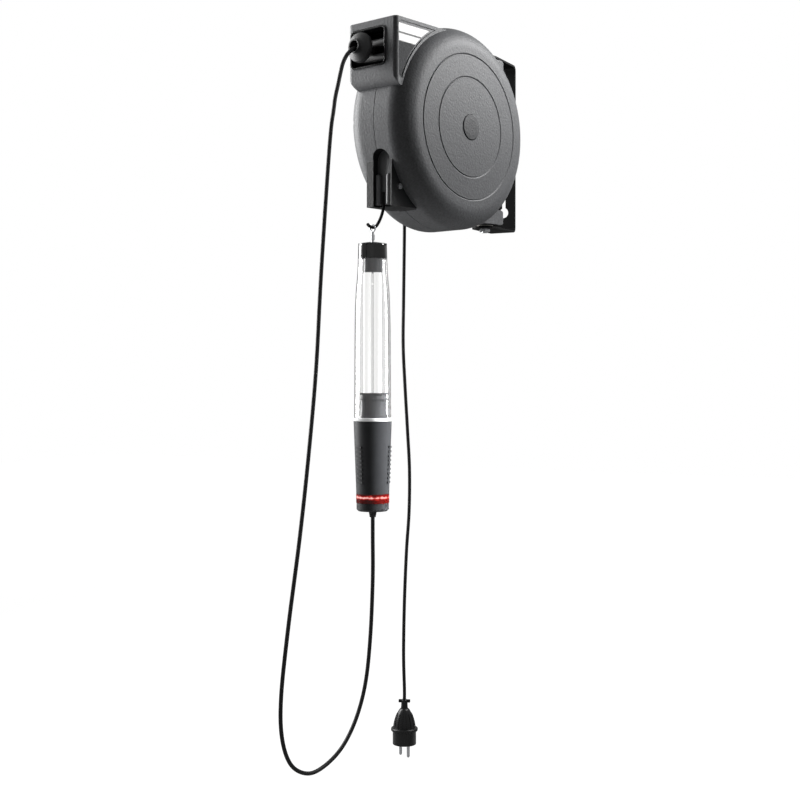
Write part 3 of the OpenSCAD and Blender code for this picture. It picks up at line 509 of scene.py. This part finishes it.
def ribbed_rubber(name, colour):
    """The same rubber on the ribbed grip, with painted shade that darkens its grooves."""
    made = moulded_rubber(name, colour, 0.5, 0.25)
    tree = made.node_tree
    base = tree.nodes["Principled BSDF"].inputs["Base Color"]
    # Painted shade gathers over 4 mm, down to 15 % of the open rubber's tone
    depth = add(tree, "ShaderNodeAmbientOcclusion", {"samples": 8}, {"Distance": 4 * MM})
    unshaded_share = maths(tree, "POWER", depth.outputs["AO"], 2.5)
    painted_groove_shade = (*scaled(colour, 0.15), 1)
    tree.links.new(mixed(tree, unshaded_share, painted_groove_shade, base.links[0].from_socket), base)
    return made


def clear_acrylic(name, colour):
    """Clear acrylic: hardly seen face on, with thin grey edges and clean reflections.

    Where the cap fills the tube, its black shows right through the wall, out to the edge.
    """
    made, tree, skin, where = finish(name, colour, 0.04, IOR=1.49)
    tree.nodes.remove(skin)
    away = turned_away(tree)
    wall = graded(tree, away, ((0.55, scaled(colour, 0.99)), (0.95, scaled(colour, 0.1))))
    over_cap = maths(tree, "GREATER_THAN", height_of(tree, where), CAP_FOOT)
    cap_behind = (0.22, 0.22, 0.22, 1)
    behind = mixed(tree, over_cap, wall, cap_behind)
    through = add(tree, "ShaderNodeBsdfTransparent", None, {"Color": behind})
    # Slow ripples in the drawn tube, about 40 mm long and 0.02 mm high
    ripple = {"Height": clouds(tree, where, 40), "Distance": 0.02 * MM}
    bump = add(tree, "ShaderNodeBump", None, ripple)
    sheen = add(
        tree,
        "ShaderNodeBsdfGlossy",
        None,
        {"Color": (1, 1, 1, 1), "Roughness": 0.04, "Normal": bump.outputs["Normal"]},
    )
    # A share of 4.5 % is mirrored face on, and nearly all at the outline
    share = maths(tree, "MULTIPLY_ADD", maths(tree, "POWER", away, 4.0), 0.95, 0.045)
    both = mixed_shaders(tree, share, through.outputs["BSDF"], sheen.outputs["BSDF"])
    tree.links.new(both, tree.nodes["Material Output"].inputs["Surface"])
    return made


def coated_glass(name, colour):
    """Fluorescent lamp glass: white phosphor that glows, inside smooth glass, with painted shade
    towards the sides of each limb.
    """
    made, tree, skin, where = finish(name, colour, 0.25, IOR=1.5, Emission_Strength=1.0)
    # The coating shows 28 % of its white by other light than its own
    vary(tree, skin, where, scaled(colour, 0.28), 30, 0.01)
    # Painted shade: the glow darkens towards the limb's sides, for the shade between and beside the
    # two limbs
    stops = ((0.4, colour), (0.68, scaled(colour, 0.05)))
    tree.links.new(graded(tree, turned_away(tree), stops), skin.inputs["Emission Color"])
    return made


def red_polycarbonate(name, colour):
    """Clear red polycarbonate: deep red, with a painted highlight: a pale glow along its middle and
    in spots.
    """
    made, tree, skin, where = finish(name, colour, 0.18, IOR=1.58, Emission_Strength=1.0)
    vary(tree, skin, where, colour, 6, 0.25)
    off = maths(tree, "SUBTRACT", height_of(tree, where), RING_MIDDLE)
    # Distance from the middle, in the ring's half height of 6.5 mm, pushed in and out by spots, for
    # the painted highlight
    highlight_offset = maths(tree, "MULTIPLY_ADD", maths(tree, "ABSOLUTE", off), 1 / (6.5 * MM), -0.5)
    level = maths(tree, "ADD", highlight_offset, clouds(tree, where, 7))
    # Painted highlight: pale pink at the middle and in the spots, fading to deep red
    stops = ((0.06, linear("FFC9C2")), (0.22, linear("B82820")), (0.5, linear("1E0202")))
    tree.links.new(graded(tree, level, stops), skin.inputs["Emission Color"])
    return made


def frosted_acrylic(name, colour):
    """Ground edge of clear acrylic: milky white, with a faint painted glow."""
    # A faint painted glow of strength 0.2, in the acrylic's own white
    made, tree, skin, where = finish(
        name, colour, 0.4, IOR=1.49, Emission_Color=(*colour, 1), Emission_Strength=0.2
    )
    vary(tree, skin, where, colour, 8, 0.03)
    grain(tree, skin, where, 1.2, 0.03)
    return made


def blank_film(name, colour):
    """Vinyl film: flat, with a satin face."""
    made, tree, skin, where = finish(name, colour, 0.38, IOR=1.5)
    vary(tree, skin, where, colour, 15, 0.015)
    grain(tree, skin, where, 1.5, 0.01)
    return made


def embossed_film(name, colour):
    """Embossed vinyl: dull and dark, with a coarse pebbled face."""
    made, tree, skin, where = finish(name, colour, 0.7, Specular_IOR_Level=0.2)
    vary(tree, skin, where, colour, 2.5, 0.45)
    # Pebbles of about 1 mm, drawn at 2.2 mm to show
    grain(tree, skin, where, 2.2, 0.35)
    return made


def natural_nylon(name, colour):
    """Cast nylon: milky, waxy to the light."""
    made, tree, skin, where = finish(name, colour, 0.4, IOR=1.53)
    vary(tree, skin, where, colour, 6, 0.04)
    return made


def pressed_carbon(name, colour):
    """Graphite brush: grey-black with a metallic glint."""
    made, tree, skin, where = finish(name, colour, 0.45, Metallic=0.3)
    vary(tree, skin, where, colour, 1, 0.2)
    return made


def circuit_board(name, colour):
    """Glass-epoxy board under green lacquer."""
    made, tree, skin, where = finish(name, colour, 0.35, IOR=1.55)
    vary(tree, skin, where, colour, 3, 0.15)
    return made


FINISHES = {}
NODES_BY_FINISH = {
    "casing": ["front_casing", "rear_casing"],
    "cap": ["centre_cap"],
    "trim": ["mouth_frame", "inlet_cover", "brush_holder"],
    "holder": ["hook_holder"],
    "socket": ["lamp_cap", "lamp_socket"],
    "bracket": ["wall_bracket"],
    "hook": ["hook_rod"],
    "zinc": [
        "pivot_pins", "pivot_nuts", "casing_screws", "hook_screws", "main_shaft", "shaft_rings",
        "flange_screws", "inlet_screws", "pawl_pin", "roller_axles", "spring_arbor", "lamp_eye",
        "plug_pins",
    ],
    "steel": [
        "spring_cup", "spring_cover", "ratchet_wheel", "pawl", "pawl_spring", "return_spring",
    ],
    "bronze": ["hub_bushes", "slip_rings"],
    "jacket": ["feed_cord", "cord_layers", "wound_cord", "supply_cord", "lamp_lead"],
    "rubber": [
        "ball_stop", "cord_clamp", "supply_gland", "lamp_gland", "upper_roller", "lower_roller",
    ],
    "plug": ["plug_relief", "plug_body"],
    "grip": ["lamp_grip"],
    "label": ["label_strips"],
    "nylon": ["pivot_bushes", "pivot_washers", "terminal_block", "ring_carrier"],
    "drum": ["drum_core", "front_flange"],
    "carbon": ["brushes"],
    "clear": ["clear_tube"],
    "lamp": ["lamp_limbs"],
    "board": ["ballast"],
    "ring": ["red_ring"],
}


class REEL_OT_finishes(bpy.types.Operator):
    """Makes the finishes and puts them on the frame's own pieces"""

    bl_idname = "reel.finishes"
    bl_label = "Finishes"

    def execute(self, context):
        colours = context.scene.reel_colours
        FINISHES.update(
            # The casing's darker grey round the hook is painted shade
            casing=abs_with_painted_shade("moulded ABS", colours.casing, linear("222324")),
            cap=moulded_abs("moulded ABS cap", linear("434446")),
            trim=smooth_abs("smooth ABS", colours.trim),
            holder=smooth_abs("hook holder plastic", linear("606163"), 0.42),
            socket=smooth_abs("lamp fittings plastic", linear("505153")),
            bracket=powder_coat("black powder coat", linear("0B0C0D")),
            hook=powder_coat("black hook coat", linear("0E0E0F")),
            zinc=zinc_plate("zinc plate", linear("C6C8CA")),
            steel=spring_steel("rolled steel", linear("8A8D90")),
            bronze=sintered_bronze("sintered bronze", linear("B98C54")),
            jacket=cord_jacket("cord jacket", colours.jacket),
            rubber=moulded_rubber("moulded rubber", linear("1B1C1D"), 0.5),
            plug=moulded_rubber("plug rubber", linear("08090A"), 0.32, 0.35),
            grip=ribbed_rubber("grip rubber", colours.grip),
            label=blank_film("blank white film", linear("E9E9E7")),
            panel=embossed_film("embossed dark film", linear("3A3B3D")),
            nylon=natural_nylon("natural nylon", linear("D9D6CC")),
            drum=smooth_abs("drum plastic", linear("5C5F62")),
            carbon=pressed_carbon("pressed carbon", linear("303134")),
            clear=clear_acrylic("clear acrylic", linear("FBFBFB")),
            frosted=frosted_acrylic("frosted acrylic", linear("EDEEEE")),
            lamp=coated_glass("coated lamp glass", linear("F8F8F7")),
            board=circuit_board("circuit board", linear("2E5B38")),
            ring=red_polycarbonate("red polycarbonate", colours.ring),
        )
        for finish_name, names in NODES_BY_FINISH.items():
            for name in names:
                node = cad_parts[name]
                if not node.material_slots:
                    node.data.materials.append(None)
                node.material_slots[0].material = FINISHES[finish_name]
        return {"FINISHED"}


# ---- Camera ----

LENS, SENSOR = 59.58, 36.0
# In metres, and the direction from the object to the camera in degrees
CLIP = (0.05, 50)
CAMERA_PLACE = (0.8823, -1.9789, -0.3560)
AZIMUTH, ELEVATION = 28.52, 1.06


class REEL_OT_camera(bpy.types.Operator):
    """Sets up the camera"""

    bl_idname = "reel.camera"
    bl_label = "Camera"

    def execute(self, context):
        data = bpy.data.cameras.new("camera")
        data.sensor_width, data.lens = SENSOR, LENS
        data.clip_start, data.clip_end = CLIP
        camera = in_scene("camera", data)
        azimuth, elevation = math.radians(AZIMUTH), math.radians(ELEVATION)
        side, up = math.cos(elevation), math.sin(elevation)
        back = Vector((math.sin(azimuth) * side, -math.cos(azimuth) * side, up))
        camera.location = CAMERA_PLACE
        camera.rotation_mode = "QUATERNION"
        camera.rotation_quaternion = (-back).to_track_quat("-Z", "Y")
        context.scene.camera = camera
        return {"FINISHED"}


# ---- Cords ----

# The cord from the ball stop down to its lowest point, and on up to the lamp
LEAD_ROUTE = [
    (-7, -161, 97), (-7, -168, 97), (-7, -175, 96), (-7, -181, 94), (-7, -187, 90.5),
    (-7, -192.5, 86), (-7, -198.5, 79.5), (-7, -205, 68.5), (-7, -209.5, 55.5), (-6, -216, 36.5),
    (-6, -221.5, 18), (-5, -226, -1), (-5, -231.5, -30), (-5, -239, -100), (-5, -251, -230),
    (-4, -262, -360), (-4, -277, -480), (-4, -294, -590), (-4, -316, -710), (-4, -329, -800),
    (-3, -328, -855), (-3, -311, -894), (-2, -280, -912), (-2, -246, -908), (-1, -212, -888),
    (-1, -184, -853), (0, -166, -805), (0, -156, -740), (0, -151, -660), (0, -151, -600),
    (0, -151, -571.3),
]
LEAD_LOWEST = 22
# From the rear gland to the plug
SUPPLY_ROUTE = [
    (-69, -2, -2), (-69, -2, -30), (-69, -2, -75), (-69, -2, -140), (-69, -4, -250),
    (-69, -5, -320), (-69, -1, -380), (-69, 5, -450), (-69, 10, -515), (-69, 9, -580),
    (-69, 3, -640), (-69, -2, -720), (-69, -4, -800), (-69, -2, -855), (-69, -2, -872),
]
# From the drum through the mouth and the ball stop
FEED_ROUTE = [
    (-24, -4, 97), (-24, -12, 97), (-22, -40, 97), (-16, -80, 97), (-10, -112, 97),
    (-7, -132, 97), (-7, -139, 97), (-7, -161, 97),
]
# Points to each stretch of a hanging cord's route, and of a short one
LONG_STEPS, SHORT_STEPS = 12, 8
# Directions that a swept route doesn't run along
AXLE_WAY, UPRIGHT = REEL.to_3x3() @ Vector((1, 0, 0)), REEL.to_3x3() @ Vector((0, 0, 1))


class REEL_OT_lamp_cord(bpy.types.Operator):
    """Makes the lamp's cord: the fall from the ball stop, and the rise to the lamp"""

    bl_idname = "reel.lamp_cord"
    bl_label = "Lamp cord"

    def execute(self, context):
        d = context.scene.reel_sizes.lamp_cord
        path = [REEL @ p for p in smooth_route(LEAD_ROUTE, LONG_STEPS)]
        turn = LEAD_LOWEST * LONG_STEPS
        fall, rise = path[: turn + 1], path[turn:]
        down = swept("lamp_cord_fall", fall, d / 2, AXLE_WAY, FINISHES["jacket"])
        up = swept("lamp_cord_rise", rise, d / 2, AXLE_WAY, FINISHES["jacket"])
        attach(down, "casing")
        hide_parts("lamp_lead")
        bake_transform(up)
        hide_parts("lamp_lead")
        return {"FINISHED"}


class REEL_OT_supply_cord(bpy.types.Operator):
    """Makes the supply cord, from the rear gland to the plug"""

    bl_idname = "reel.supply_cord"
    bl_label = "Supply cord"

    def execute(self, context):
        d = context.scene.reel_sizes.supply_cord
        path = [REEL @ p for p in smooth_route(SUPPLY_ROUTE, LONG_STEPS)]
        cord = swept("supply_cord_run", path, d / 2, AXLE_WAY, FINISHES["jacket"])
        fitted(cord, "casing", "supply_cord")
        return {"FINISHED"}


class REEL_OT_feed_cord(bpy.types.Operator):
    """Makes the stretch of cord from the drum through the ball stop"""

    bl_idname = "reel.feed_cord"
    bl_label = "Feed cord"

    def execute(self, context):
        d = context.scene.reel_sizes.lamp_cord
        path = [REEL @ p for p in smooth_route(FEED_ROUTE, SHORT_STEPS)]
        cord = swept("feed_cord_run", path, d / 2, UPRIGHT, FINISHES["jacket"])
        fitted(cord, "casing", "feed_cord")
        return {"FINISHED"}


# Each layer's distance from the axle, the radius of its cord, and the node that it replaces
LAYERS = (
    (90.6, 2.83, "wound_cord"),
    (84.9, 2.7, "cord_layers"),
    (79.4, 2.7, "cord_layers"),
)
# A layer's turns, the distance that they move along the axle, and where they start on it
TURNS, WINDING_WIDTH, WINDING_START = 7.0, 43.8, -26.9
POINTS_A_TURN, WOUND_SIDES = 32, 10


def winding_tree():
    """One layer of cord wound round the drum, as a tube along a steady spiral."""
    tree, given, out = new_tree(
        "drum winding",
        {
            "Layer Radius": "NodeSocketFloat",
            "Width": "NodeSocketFloat",
            "Turns": "NodeSocketFloat",
            "Cord Radius": "NodeSocketFloat",
            "Material": "NodeSocketMaterial",
        },
    )
    spiral = add(
        tree,
        "GeometryNodeCurveSpiral",
        None,
        {
            "Resolution": POINTS_A_TURN,
            "Rotations": given.outputs["Turns"],
            "Start Radius": given.outputs["Layer Radius"],
            "End Radius": given.outputs["Layer Radius"],
            "Height": given.outputs["Width"],
        },
    )
    section = {"Resolution": WOUND_SIDES, "Radius": given.outputs["Cord Radius"]}
    ring = add(tree, "GeometryNodeCurvePrimitiveCircle", None, section)
    curves = {"Curve": spiral.outputs["Curve"], "Profile Curve": ring.outputs["Curve"]}
    tube = add(tree, "GeometryNodeCurveToMesh", None, {**curves, "Fill Caps": True})
    end_tree(tree, tube.outputs["Mesh"], given.outputs["Material"], out)
    return tree


class REEL_OT_drum_cord(bpy.types.Operator):
    """Winds the stored cord on the drum, in three layers"""

    bl_idname = "reel.drum_cord"
    bl_label = "Drum cord"

    def execute(self, context):
        tree = winding_tree()
        quarter = Matrix.Rotation(math.radians(90), 4, "Y")
        across = REEL @ Matrix.Translation((WINDING_START, 0, 0)) @ quarter
        for layer, (radius, cord_radius, node) in enumerate(LAYERS):
            base = in_scene("base", bpy.data.meshes.new("base"))
            inputs = {
                "Layer Radius": radius,
                "Width": WINDING_WIDTH,
                "Turns": TURNS,
                "Cord Radius": cord_radius,
                "Material": FINISHES["jacket"],
            }
            made = evaluated(base, tree, inputs, f"drum_cord_{layer}")
            made.data.transform(across)
            fitted(made, "drum", node)
        return {"FINISHED"}


# ---- Side panel ----

# The film reaches from the drum's round to an upright edge, between two heights, and its two
# faces stand at FILM_X along the axle
FILM_R = 149.6
FILM_EDGE, FILM_TOP, FILM_LOW = -143.9, 103.6, 48
FILM_X = (43.22, 43.4)
FILM_STEPS = 24


class REEL_OT_side_film(bpy.types.Operator):
    """Lays a bare dark film on the sunk panel, below the two blank strips"""

    bl_idname = "reel.side_film"
    bl_label = "Side film"

    def execute(self, context):
        first, last = math.asin(FILM_TOP / FILM_R), math.asin(FILM_LOW / FILM_R)
        angles = [first + (last - first) * k / FILM_STEPS for k in range(FILM_STEPS + 1)]
        outline = [(FILM_EDGE, FILM_LOW), (FILM_EDGE, FILM_TOP)]
        outline += [(-FILM_R * math.cos(a), FILM_R * math.sin(a)) for a in angles]
        verts = [(x, y, z) for x in FILM_X for y, z in outline]
        faces = prism_faces(len(outline))
        film = mesh_object("side_film", verts, faces, FINISHES["panel"], place=REEL)
        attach(film, "casing")
        return {"FINISHED"}


# ---- Lamp ----

TUBE_TOP, TUBE_FOOT = -181.0, -428.3
TUBE_WALL, TUBE_BORE = 2.4, 18.15
# The tube's outside, as (radius, height), from under the cap down to its foot, the points to
# each stretch of it, and the rim at its top
TUBE_LINE = [
    (20.5, -181), (21.1, -203), (22, -224), (24.4, -253), (25.7, -296), (26.1, -353), (26.5, -424)
]
TUBE_STEPS = 4
TUBE_RIM = [(TUBE_BORE, TUBE_TOP), (20.3, TUBE_TOP), (20.45, TUBE_TOP - 0.2)]
# The collar at the tube's foot, which laps over the grip's rim
FOOT_LINE = [
    (23.2, -428.4), (26.8, -428.4), (27.7, -428.8), (28, -429.6), (28, -432.6), (27.8, -433),
    (27.55, -432.8), (27.55, -429.9), (23.2, -429.9),
]
# The limbs stand LIMB_OFF to each side of the lamp's axis, turned LIMB_TURN degrees about it
LIMB_R, LIMB_FOOT, LIMB_SHOULDER = 6.6, -392.9, -220.0
LIMB_OFF, LIMB_TURN = 7.3, 41
BRIDGE_LINE = [(-7, 0, -237), (-3, 0, -237), (3, 0, -237), (7, 0, -237)]
BRIDGE_R = 2.4


class REEL_OT_clear_tube(bpy.types.Operator):
    """Turns the lamp's clear tube and the collar at its foot"""

    bl_idname = "reel.clear_tube"
    bl_label = "Clear tube"

    def execute(self, context):
        route = smooth_route([(r, 0, z) for r, z in TUBE_LINE], TUBE_STEPS)
        line = [(p.x, p.z) for p in route]
        inner = [(max(TUBE_BORE, r - TUBE_WALL), z) for r, z in line]
        foot = [(line[-1][0], TUBE_FOOT), (inner[-1][0], TUBE_FOOT)]
        outline = [*TUBE_RIM, *line[1:], *foot, *inner[-1:0:-1]]
        tube = turned("lamp_tube", outline, FINISHES["clear"], LAMP, steps=128)
        fitted(tube, "lamp", "clear_tube")
        collar = turned("tube_foot", FOOT_LINE, FINISHES["frosted"], LAMP, steps=128)
        fitted(collar, "lamp", "clear_tube")
        return {"FINISHED"}


class REEL_OT_limbs(bpy.types.Operator):
    """Makes the fluorescent lamp's two glass limbs and the short tube between them"""

    bl_idname = "reel.limbs"
    bl_label = "Lamp limbs"

    def execute(self, context):
        turn = Matrix.Rotation(math.radians(LIMB_TURN), 4, "Z")
        dome = [
            (LIMB_R * math.cos(a), LIMB_SHOULDER + LIMB_R * math.sin(a))
            for a in (math.radians(k) for k in range(10, 90, 10))
        ]
        outline = [(0, LIMB_FOOT), (LIMB_R, LIMB_FOOT), (LIMB_R, LIMB_SHOULDER), *dome]
        outline.append((0, LIMB_SHOULDER + LIMB_R))
        for index, off in enumerate((-LIMB_OFF, LIMB_OFF)):
            place = LAMP @ turn @ Matrix.Translation((off, 0, 0))
            limb = turned(f"lamp_limb_{index}", outline, FINISHES["lamp"], place, steps=48)
            fitted(limb, "lamp", "lamp_limbs")
        path = [LAMP @ turn @ Vector(p) for p in BRIDGE_LINE]
        bridge = swept("lamp_bridge", path, BRIDGE_R * MM, (0, 0, 1), FINISHES["lamp"])
        fitted(bridge, "lamp", "lamp_limbs")
        return {"FINISHED"}


# ---- Plug ----

# Outlines in (radius, height): the turned bell and sleeve, one rib and one wing
BELL = [
    (0, -886), (5.6, -886), (6.8, -886.6), (8.4, -888.5), (9.8, -891), (11.4, -894.5),
    (12.8, -898), (14.2, -902), (15.3, -906), (16.2, -910), (16.8, -914), (17.0, -915.5),
    (19.4, -916), (20.5, -916.6), (20.9, -917.6), (20.9, -919.8), (20.5, -920.8),
    (18.6, -921.8), (18.3, -922.6), (18.3, -941.2), (17.8, -941.9), (0, -941.9),
]
SLEEVE = [
    (0, -872.2), (4.4, -872.2), (5, -872.8), (5, -880), (5.3, -884), (5.6, -886), (0, -886),
]
BELL_RIB = [
    (9, -893), (11.6, -893.4), (13.4, -897.5), (14.9, -902), (16, -906), (16.9, -910), (17.4, -914),
    (17.5, -915.4), (9, -915.4),
]
SLEEVE_WING = [(3, -872.4), (8.6, -872.4), (9, -872.8), (9, -876.4), (8.6, -877), (3, -877)]
RIB_HALF_WIDTH, WING_HALF_WIDTH = 0.7, 1.7
WINGS, WINGS_TURN = 4, 45


def plate(name, outline, half, material):
    """A flat plate that stands out along +X, from its outline in (radius, height)."""
    verts = [(r, y, z) for y in (-half, half) for r, z in outline]
    return mesh_object(name, verts, prism_faces(len(outline)), material, 30)


def ring_tree():
    """Copies of a piece at even steps round the Z axis."""
    tree, given, out = new_tree(
        "ring of copies", {"Count": "NodeSocketInt", "Material": "NodeSocketMaterial"}
    )
    points = add(tree, "GeometryNodePoints", None, {"Count": given.outputs["Count"]})
    number = add(tree, "GeometryNodeInputIndex").outputs["Index"]
    step = maths(tree, "DIVIDE", 2 * math.pi, given.outputs["Count"])
    angle = maths(tree, "MULTIPLY", number, step)
    turn = add(tree, "ShaderNodeCombineXYZ", None, {"Z": angle})
    copies = add(
        tree,
        "GeometryNodeInstanceOnPoints",
        None,
        {
            "Points": points.outputs["Geometry"],
            "Instance": given.outputs["Geometry"],
            "Rotation": turn.outputs["Vector"],
        },
    )
    end_tree(tree, copies.outputs["Instances"], given.outputs["Material"], out)
    return tree


class REEL_OT_plug(bpy.types.Operator):
    """Makes the plug's bell-shaped body with its ribs, and the sleeve round the cord"""

    bl_idname = "reel.plug"
    bl_label = "Plug"

    def execute(self, context):
        rubber = FINISHES["plug"]
        body = turned("plug_bell", BELL, rubber, PLUG, smooth=40)
        fitted(body, "casing", "plug_body")
        sleeve = turned("plug_sleeve", SLEEVE, rubber, PLUG, steps=48)
        fitted(sleeve, "casing", "plug_relief")

        tree = ring_tree()
        ribs = context.scene.reel_sizes.plug_ribs
        for name, outline, half, count, turn, node in (
            ("plug_ribs", BELL_RIB, RIB_HALF_WIDTH, ribs, 0, "plug_body"),
            ("plug_wings", SLEEVE_WING, WING_HALF_WIDTH, WINGS, WINGS_TURN, "plug_relief"),
        ):
            base = plate("base", outline, half, rubber)
            made = evaluated(base, tree, {"Count": count, "Material": rubber}, name)
            made.data.transform(PLUG @ Matrix.Rotation(math.radians(turn), 4, "Z"))
            fitted(made, "casing", node)
        return {"FINISHED"}


# ---- Hook ----

HOOK_ROUTE = [
    (0, -127, -104), (0, -127, -114), (0, -127, -122.5), (0, -129.3, -131.5), (0, -133, -140),
    (0, -138, -148), (0, -144, -154.4), (0, -151, -156.5), (0, -158, -154.8), (0, -162.5, -152.2),
]
HOOK_R, HOOK_TIP = 2.25, (0.35, 0.8)


class REEL_OT_hook(bpy.types.Operator):
    """Bends the steel hook"""

    bl_idname = "reel.hook"
    bl_label = "Hook"

    def execute(self, context):
        path = [REEL @ p for p in smooth_route(HOOK_ROUTE, SHORT_STEPS)]
        coat = FINISHES["hook"]
        hook = swept("hook_bent", path, HOOK_R * MM, AXLE_WAY, coat, ends=HOOK_TIP)
        fitted(hook, "casing", "hook_rod")
        return {"FINISHED"}


# ---- Studio ----

# Strength of the white page as the camera sees it, the share of it that shows in glossy
# reflections, and the strength of the light that it gives
PAGE, PAGE_IN_GLOSS, PAGE_LIGHT = 1.0, 0.45, 0.02
WHITE = (1, 1, 1, 1)
FLOOR_HEIGHT, FLOOR_HALF = -0.97, 6.0
FLOOR_GREY = (0.4, 0.4, 0.4, 1)
# Where the camera sees the floor, this share of its look is its own glow. The far floor gets
# little light, so the glow grows outwards, between two pairs of distance in metres and strength
FLOOR_GLOW_SHARE = 0.78
GLOW_NEAR, GLOW_FAR = (1.5, 1.25), (2.6, 1.29)
REEL_AIM, GRIP_AIM = REEL @ Vector((0, 0, -60)), LAMP @ Vector((0, 0, -480))
# Name, aim, place from there and sides in metres, spread in degrees and power in watts
LIGHTS = (
    ("left", REEL_AIM, (-1.28, -0.2, 0.25), (0.7, 1.5), 180, 40),
    ("high right", REEL_AIM, (0.65, 0.5, 0.57), (0.5, 0.5), 180, 14.5),
    ("front", REEL_AIM, (0.9, -2.4, 0.2), (1.4, 1.4), 180, 0.5),
    ("low right", GRIP_AIM, (0.74, 0.34, 0.24), (0.3, 0.3), 38, 2.0),
)


def white_page():
    """Surroundings that look white but give little light."""
    world = bpy.data.worlds.new("surroundings")
    world.use_nodes = True
    tree = world.node_tree
    tree.nodes.clear()
    rays = add(tree, "ShaderNodeLightPath").outputs
    direct = maths(tree, "MAXIMUM", rays["Is Camera Ray"], rays["Is Transmission Ray"])
    seen = maths(tree, "MULTIPLY_ADD", rays["Is Glossy Ray"], PAGE_IN_GLOSS, direct)
    seen.node.use_clamp = True
    light = add(tree, "ShaderNodeBackground", None, {"Color": WHITE, "Strength": PAGE_LIGHT})
    page = add(tree, "ShaderNodeBackground", None, {"Color": WHITE, "Strength": PAGE})
    both = mixed_shaders(tree, seen, light.outputs[0], page.outputs[0])
    add(tree, "ShaderNodeOutputWorld", None, {"Surface": both})
    return world


def pale_floor():
    """A matt floor that the camera sees as part of the white page."""
    pale = bpy.data.materials.new("pale floor")
    pale.use_nodes = True
    tree = pale.node_tree
    tree.nodes.clear()
    matt = add(tree, "ShaderNodeBsdfDiffuse", None, {"Color": FLOOR_GREY})
    where = add(tree, "ShaderNodeTexCoord").outputs["Object"]
    away = add(tree, "ShaderNodeVectorMath", {"operation": "LENGTH"}, {0: where})
    level = add(
        tree,
        "ShaderNodeMapRange",
        None,
        {
            "Value": away.outputs["Value"],
            "From Min": GLOW_NEAR[0],
            "From Max": GLOW_FAR[0],
            "To Min": GLOW_NEAR[1],
            "To Max": GLOW_FAR[1],
        },
    )
    strength = {"Color": WHITE, "Strength": level.outputs["Result"]}
    glow = add(tree, "ShaderNodeEmission", None, strength)
    by_camera = add(tree, "ShaderNodeLightPath").outputs["Is Camera Ray"]
    share = maths(tree, "MULTIPLY", by_camera, FLOOR_GLOW_SHARE)
    both = mixed_shaders(tree, share, matt.outputs[0], glow.outputs[0])
    add(tree, "ShaderNodeOutputMaterial", None, {"Surface": both})
    return pale


class REEL_OT_stage(bpy.types.Operator):
    """Lays the floor and sets the lights and the surroundings"""

    bl_idname = "reel.stage"
    bl_label = "Studio"

    def execute(self, context):
        scene = context.scene
        scene.view_settings.view_transform = "Standard"
        scene.world = white_page()

        floor = in_scene("floor", bpy.data.meshes.new("floor"))
        corners = [(-1, -1), (1, -1), (1, 1), (-1, 1)]
        verts = [(x * FLOOR_HALF, y * FLOOR_HALF, FLOOR_HEIGHT) for x, y in corners]
        floor.data.from_pydata(verts, [], [(0, 1, 2, 3)])
        floor.data.materials.append(pale_floor())

        for name, aim, away, size, spread, power in LIGHTS:
            data = bpy.data.lights.new(name, "AREA")
            data.shape = "RECTANGLE"
            data.size, data.size_y = size
            data.spread = math.radians(spread)
            data.energy = power
            light = in_scene(name, data)
            light.location = aim + Vector(away)
            light.rotation_mode = "QUATERNION"
            light.rotation_quaternion = (-Vector(away)).to_track_quat("-Z", "Y")
            # The low light only fills the grip's side, and leaves no spot on the clear tube
            light.visible_glossy = name != "low right"
        return {"FINISHED"}


STEPS = (
    REEL_OT_camera,
    REEL_OT_finishes,
    REEL_OT_plug,
    REEL_OT_lamp_cord,
    REEL_OT_supply_cord,
    REEL_OT_feed_cord,
    REEL_OT_drum_cord,
    REEL_OT_side_film,
    REEL_OT_clear_tube,
    REEL_OT_limbs,
    REEL_OT_hook,
    REEL_OT_stage,
)


class REEL_PT_panel(bpy.types.Panel):
    """Lists the steps that dress the reel"""

    bl_label = "Cord reel"
    bl_idname = "REEL_PT_panel"
    bl_space_type = "VIEW_3D"
    bl_region_type = "UI"
    bl_category = "Cord reel"

    def draw(self, context):
        layout = self.layout
        for group in (context.scene.reel_sizes, context.scene.reel_colours):
            box = layout.box()
            for name in group.bl_rna.properties.keys():
                if name not in ("rna_type", "name"):
                    box.prop(group, name)
        for step in STEPS:
            layout.operator(step.bl_idname)


CLASSES = (ReelSizes, ReelColours, *STEPS, REEL_PT_panel)


def register():
    for one in CLASSES:
        bpy.utils.register_class(one)
    bpy.types.Scene.reel_sizes = bpy.props.PointerProperty(type=ReelSizes)
    bpy.types.Scene.reel_colours = bpy.props.PointerProperty(type=ReelColours)


def unregister():
    del bpy.types.Scene.reel_colours
    del bpy.types.Scene.reel_sizes
    for one in reversed(CLASSES):
        bpy.utils.unregister_class(one)


def main():
    register()
    for step in STEPS:
        group, name = step.bl_idname.split(".")
        getattr(getattr(bpy.ops, group), name)()


if __name__ == "__main__":
    main()
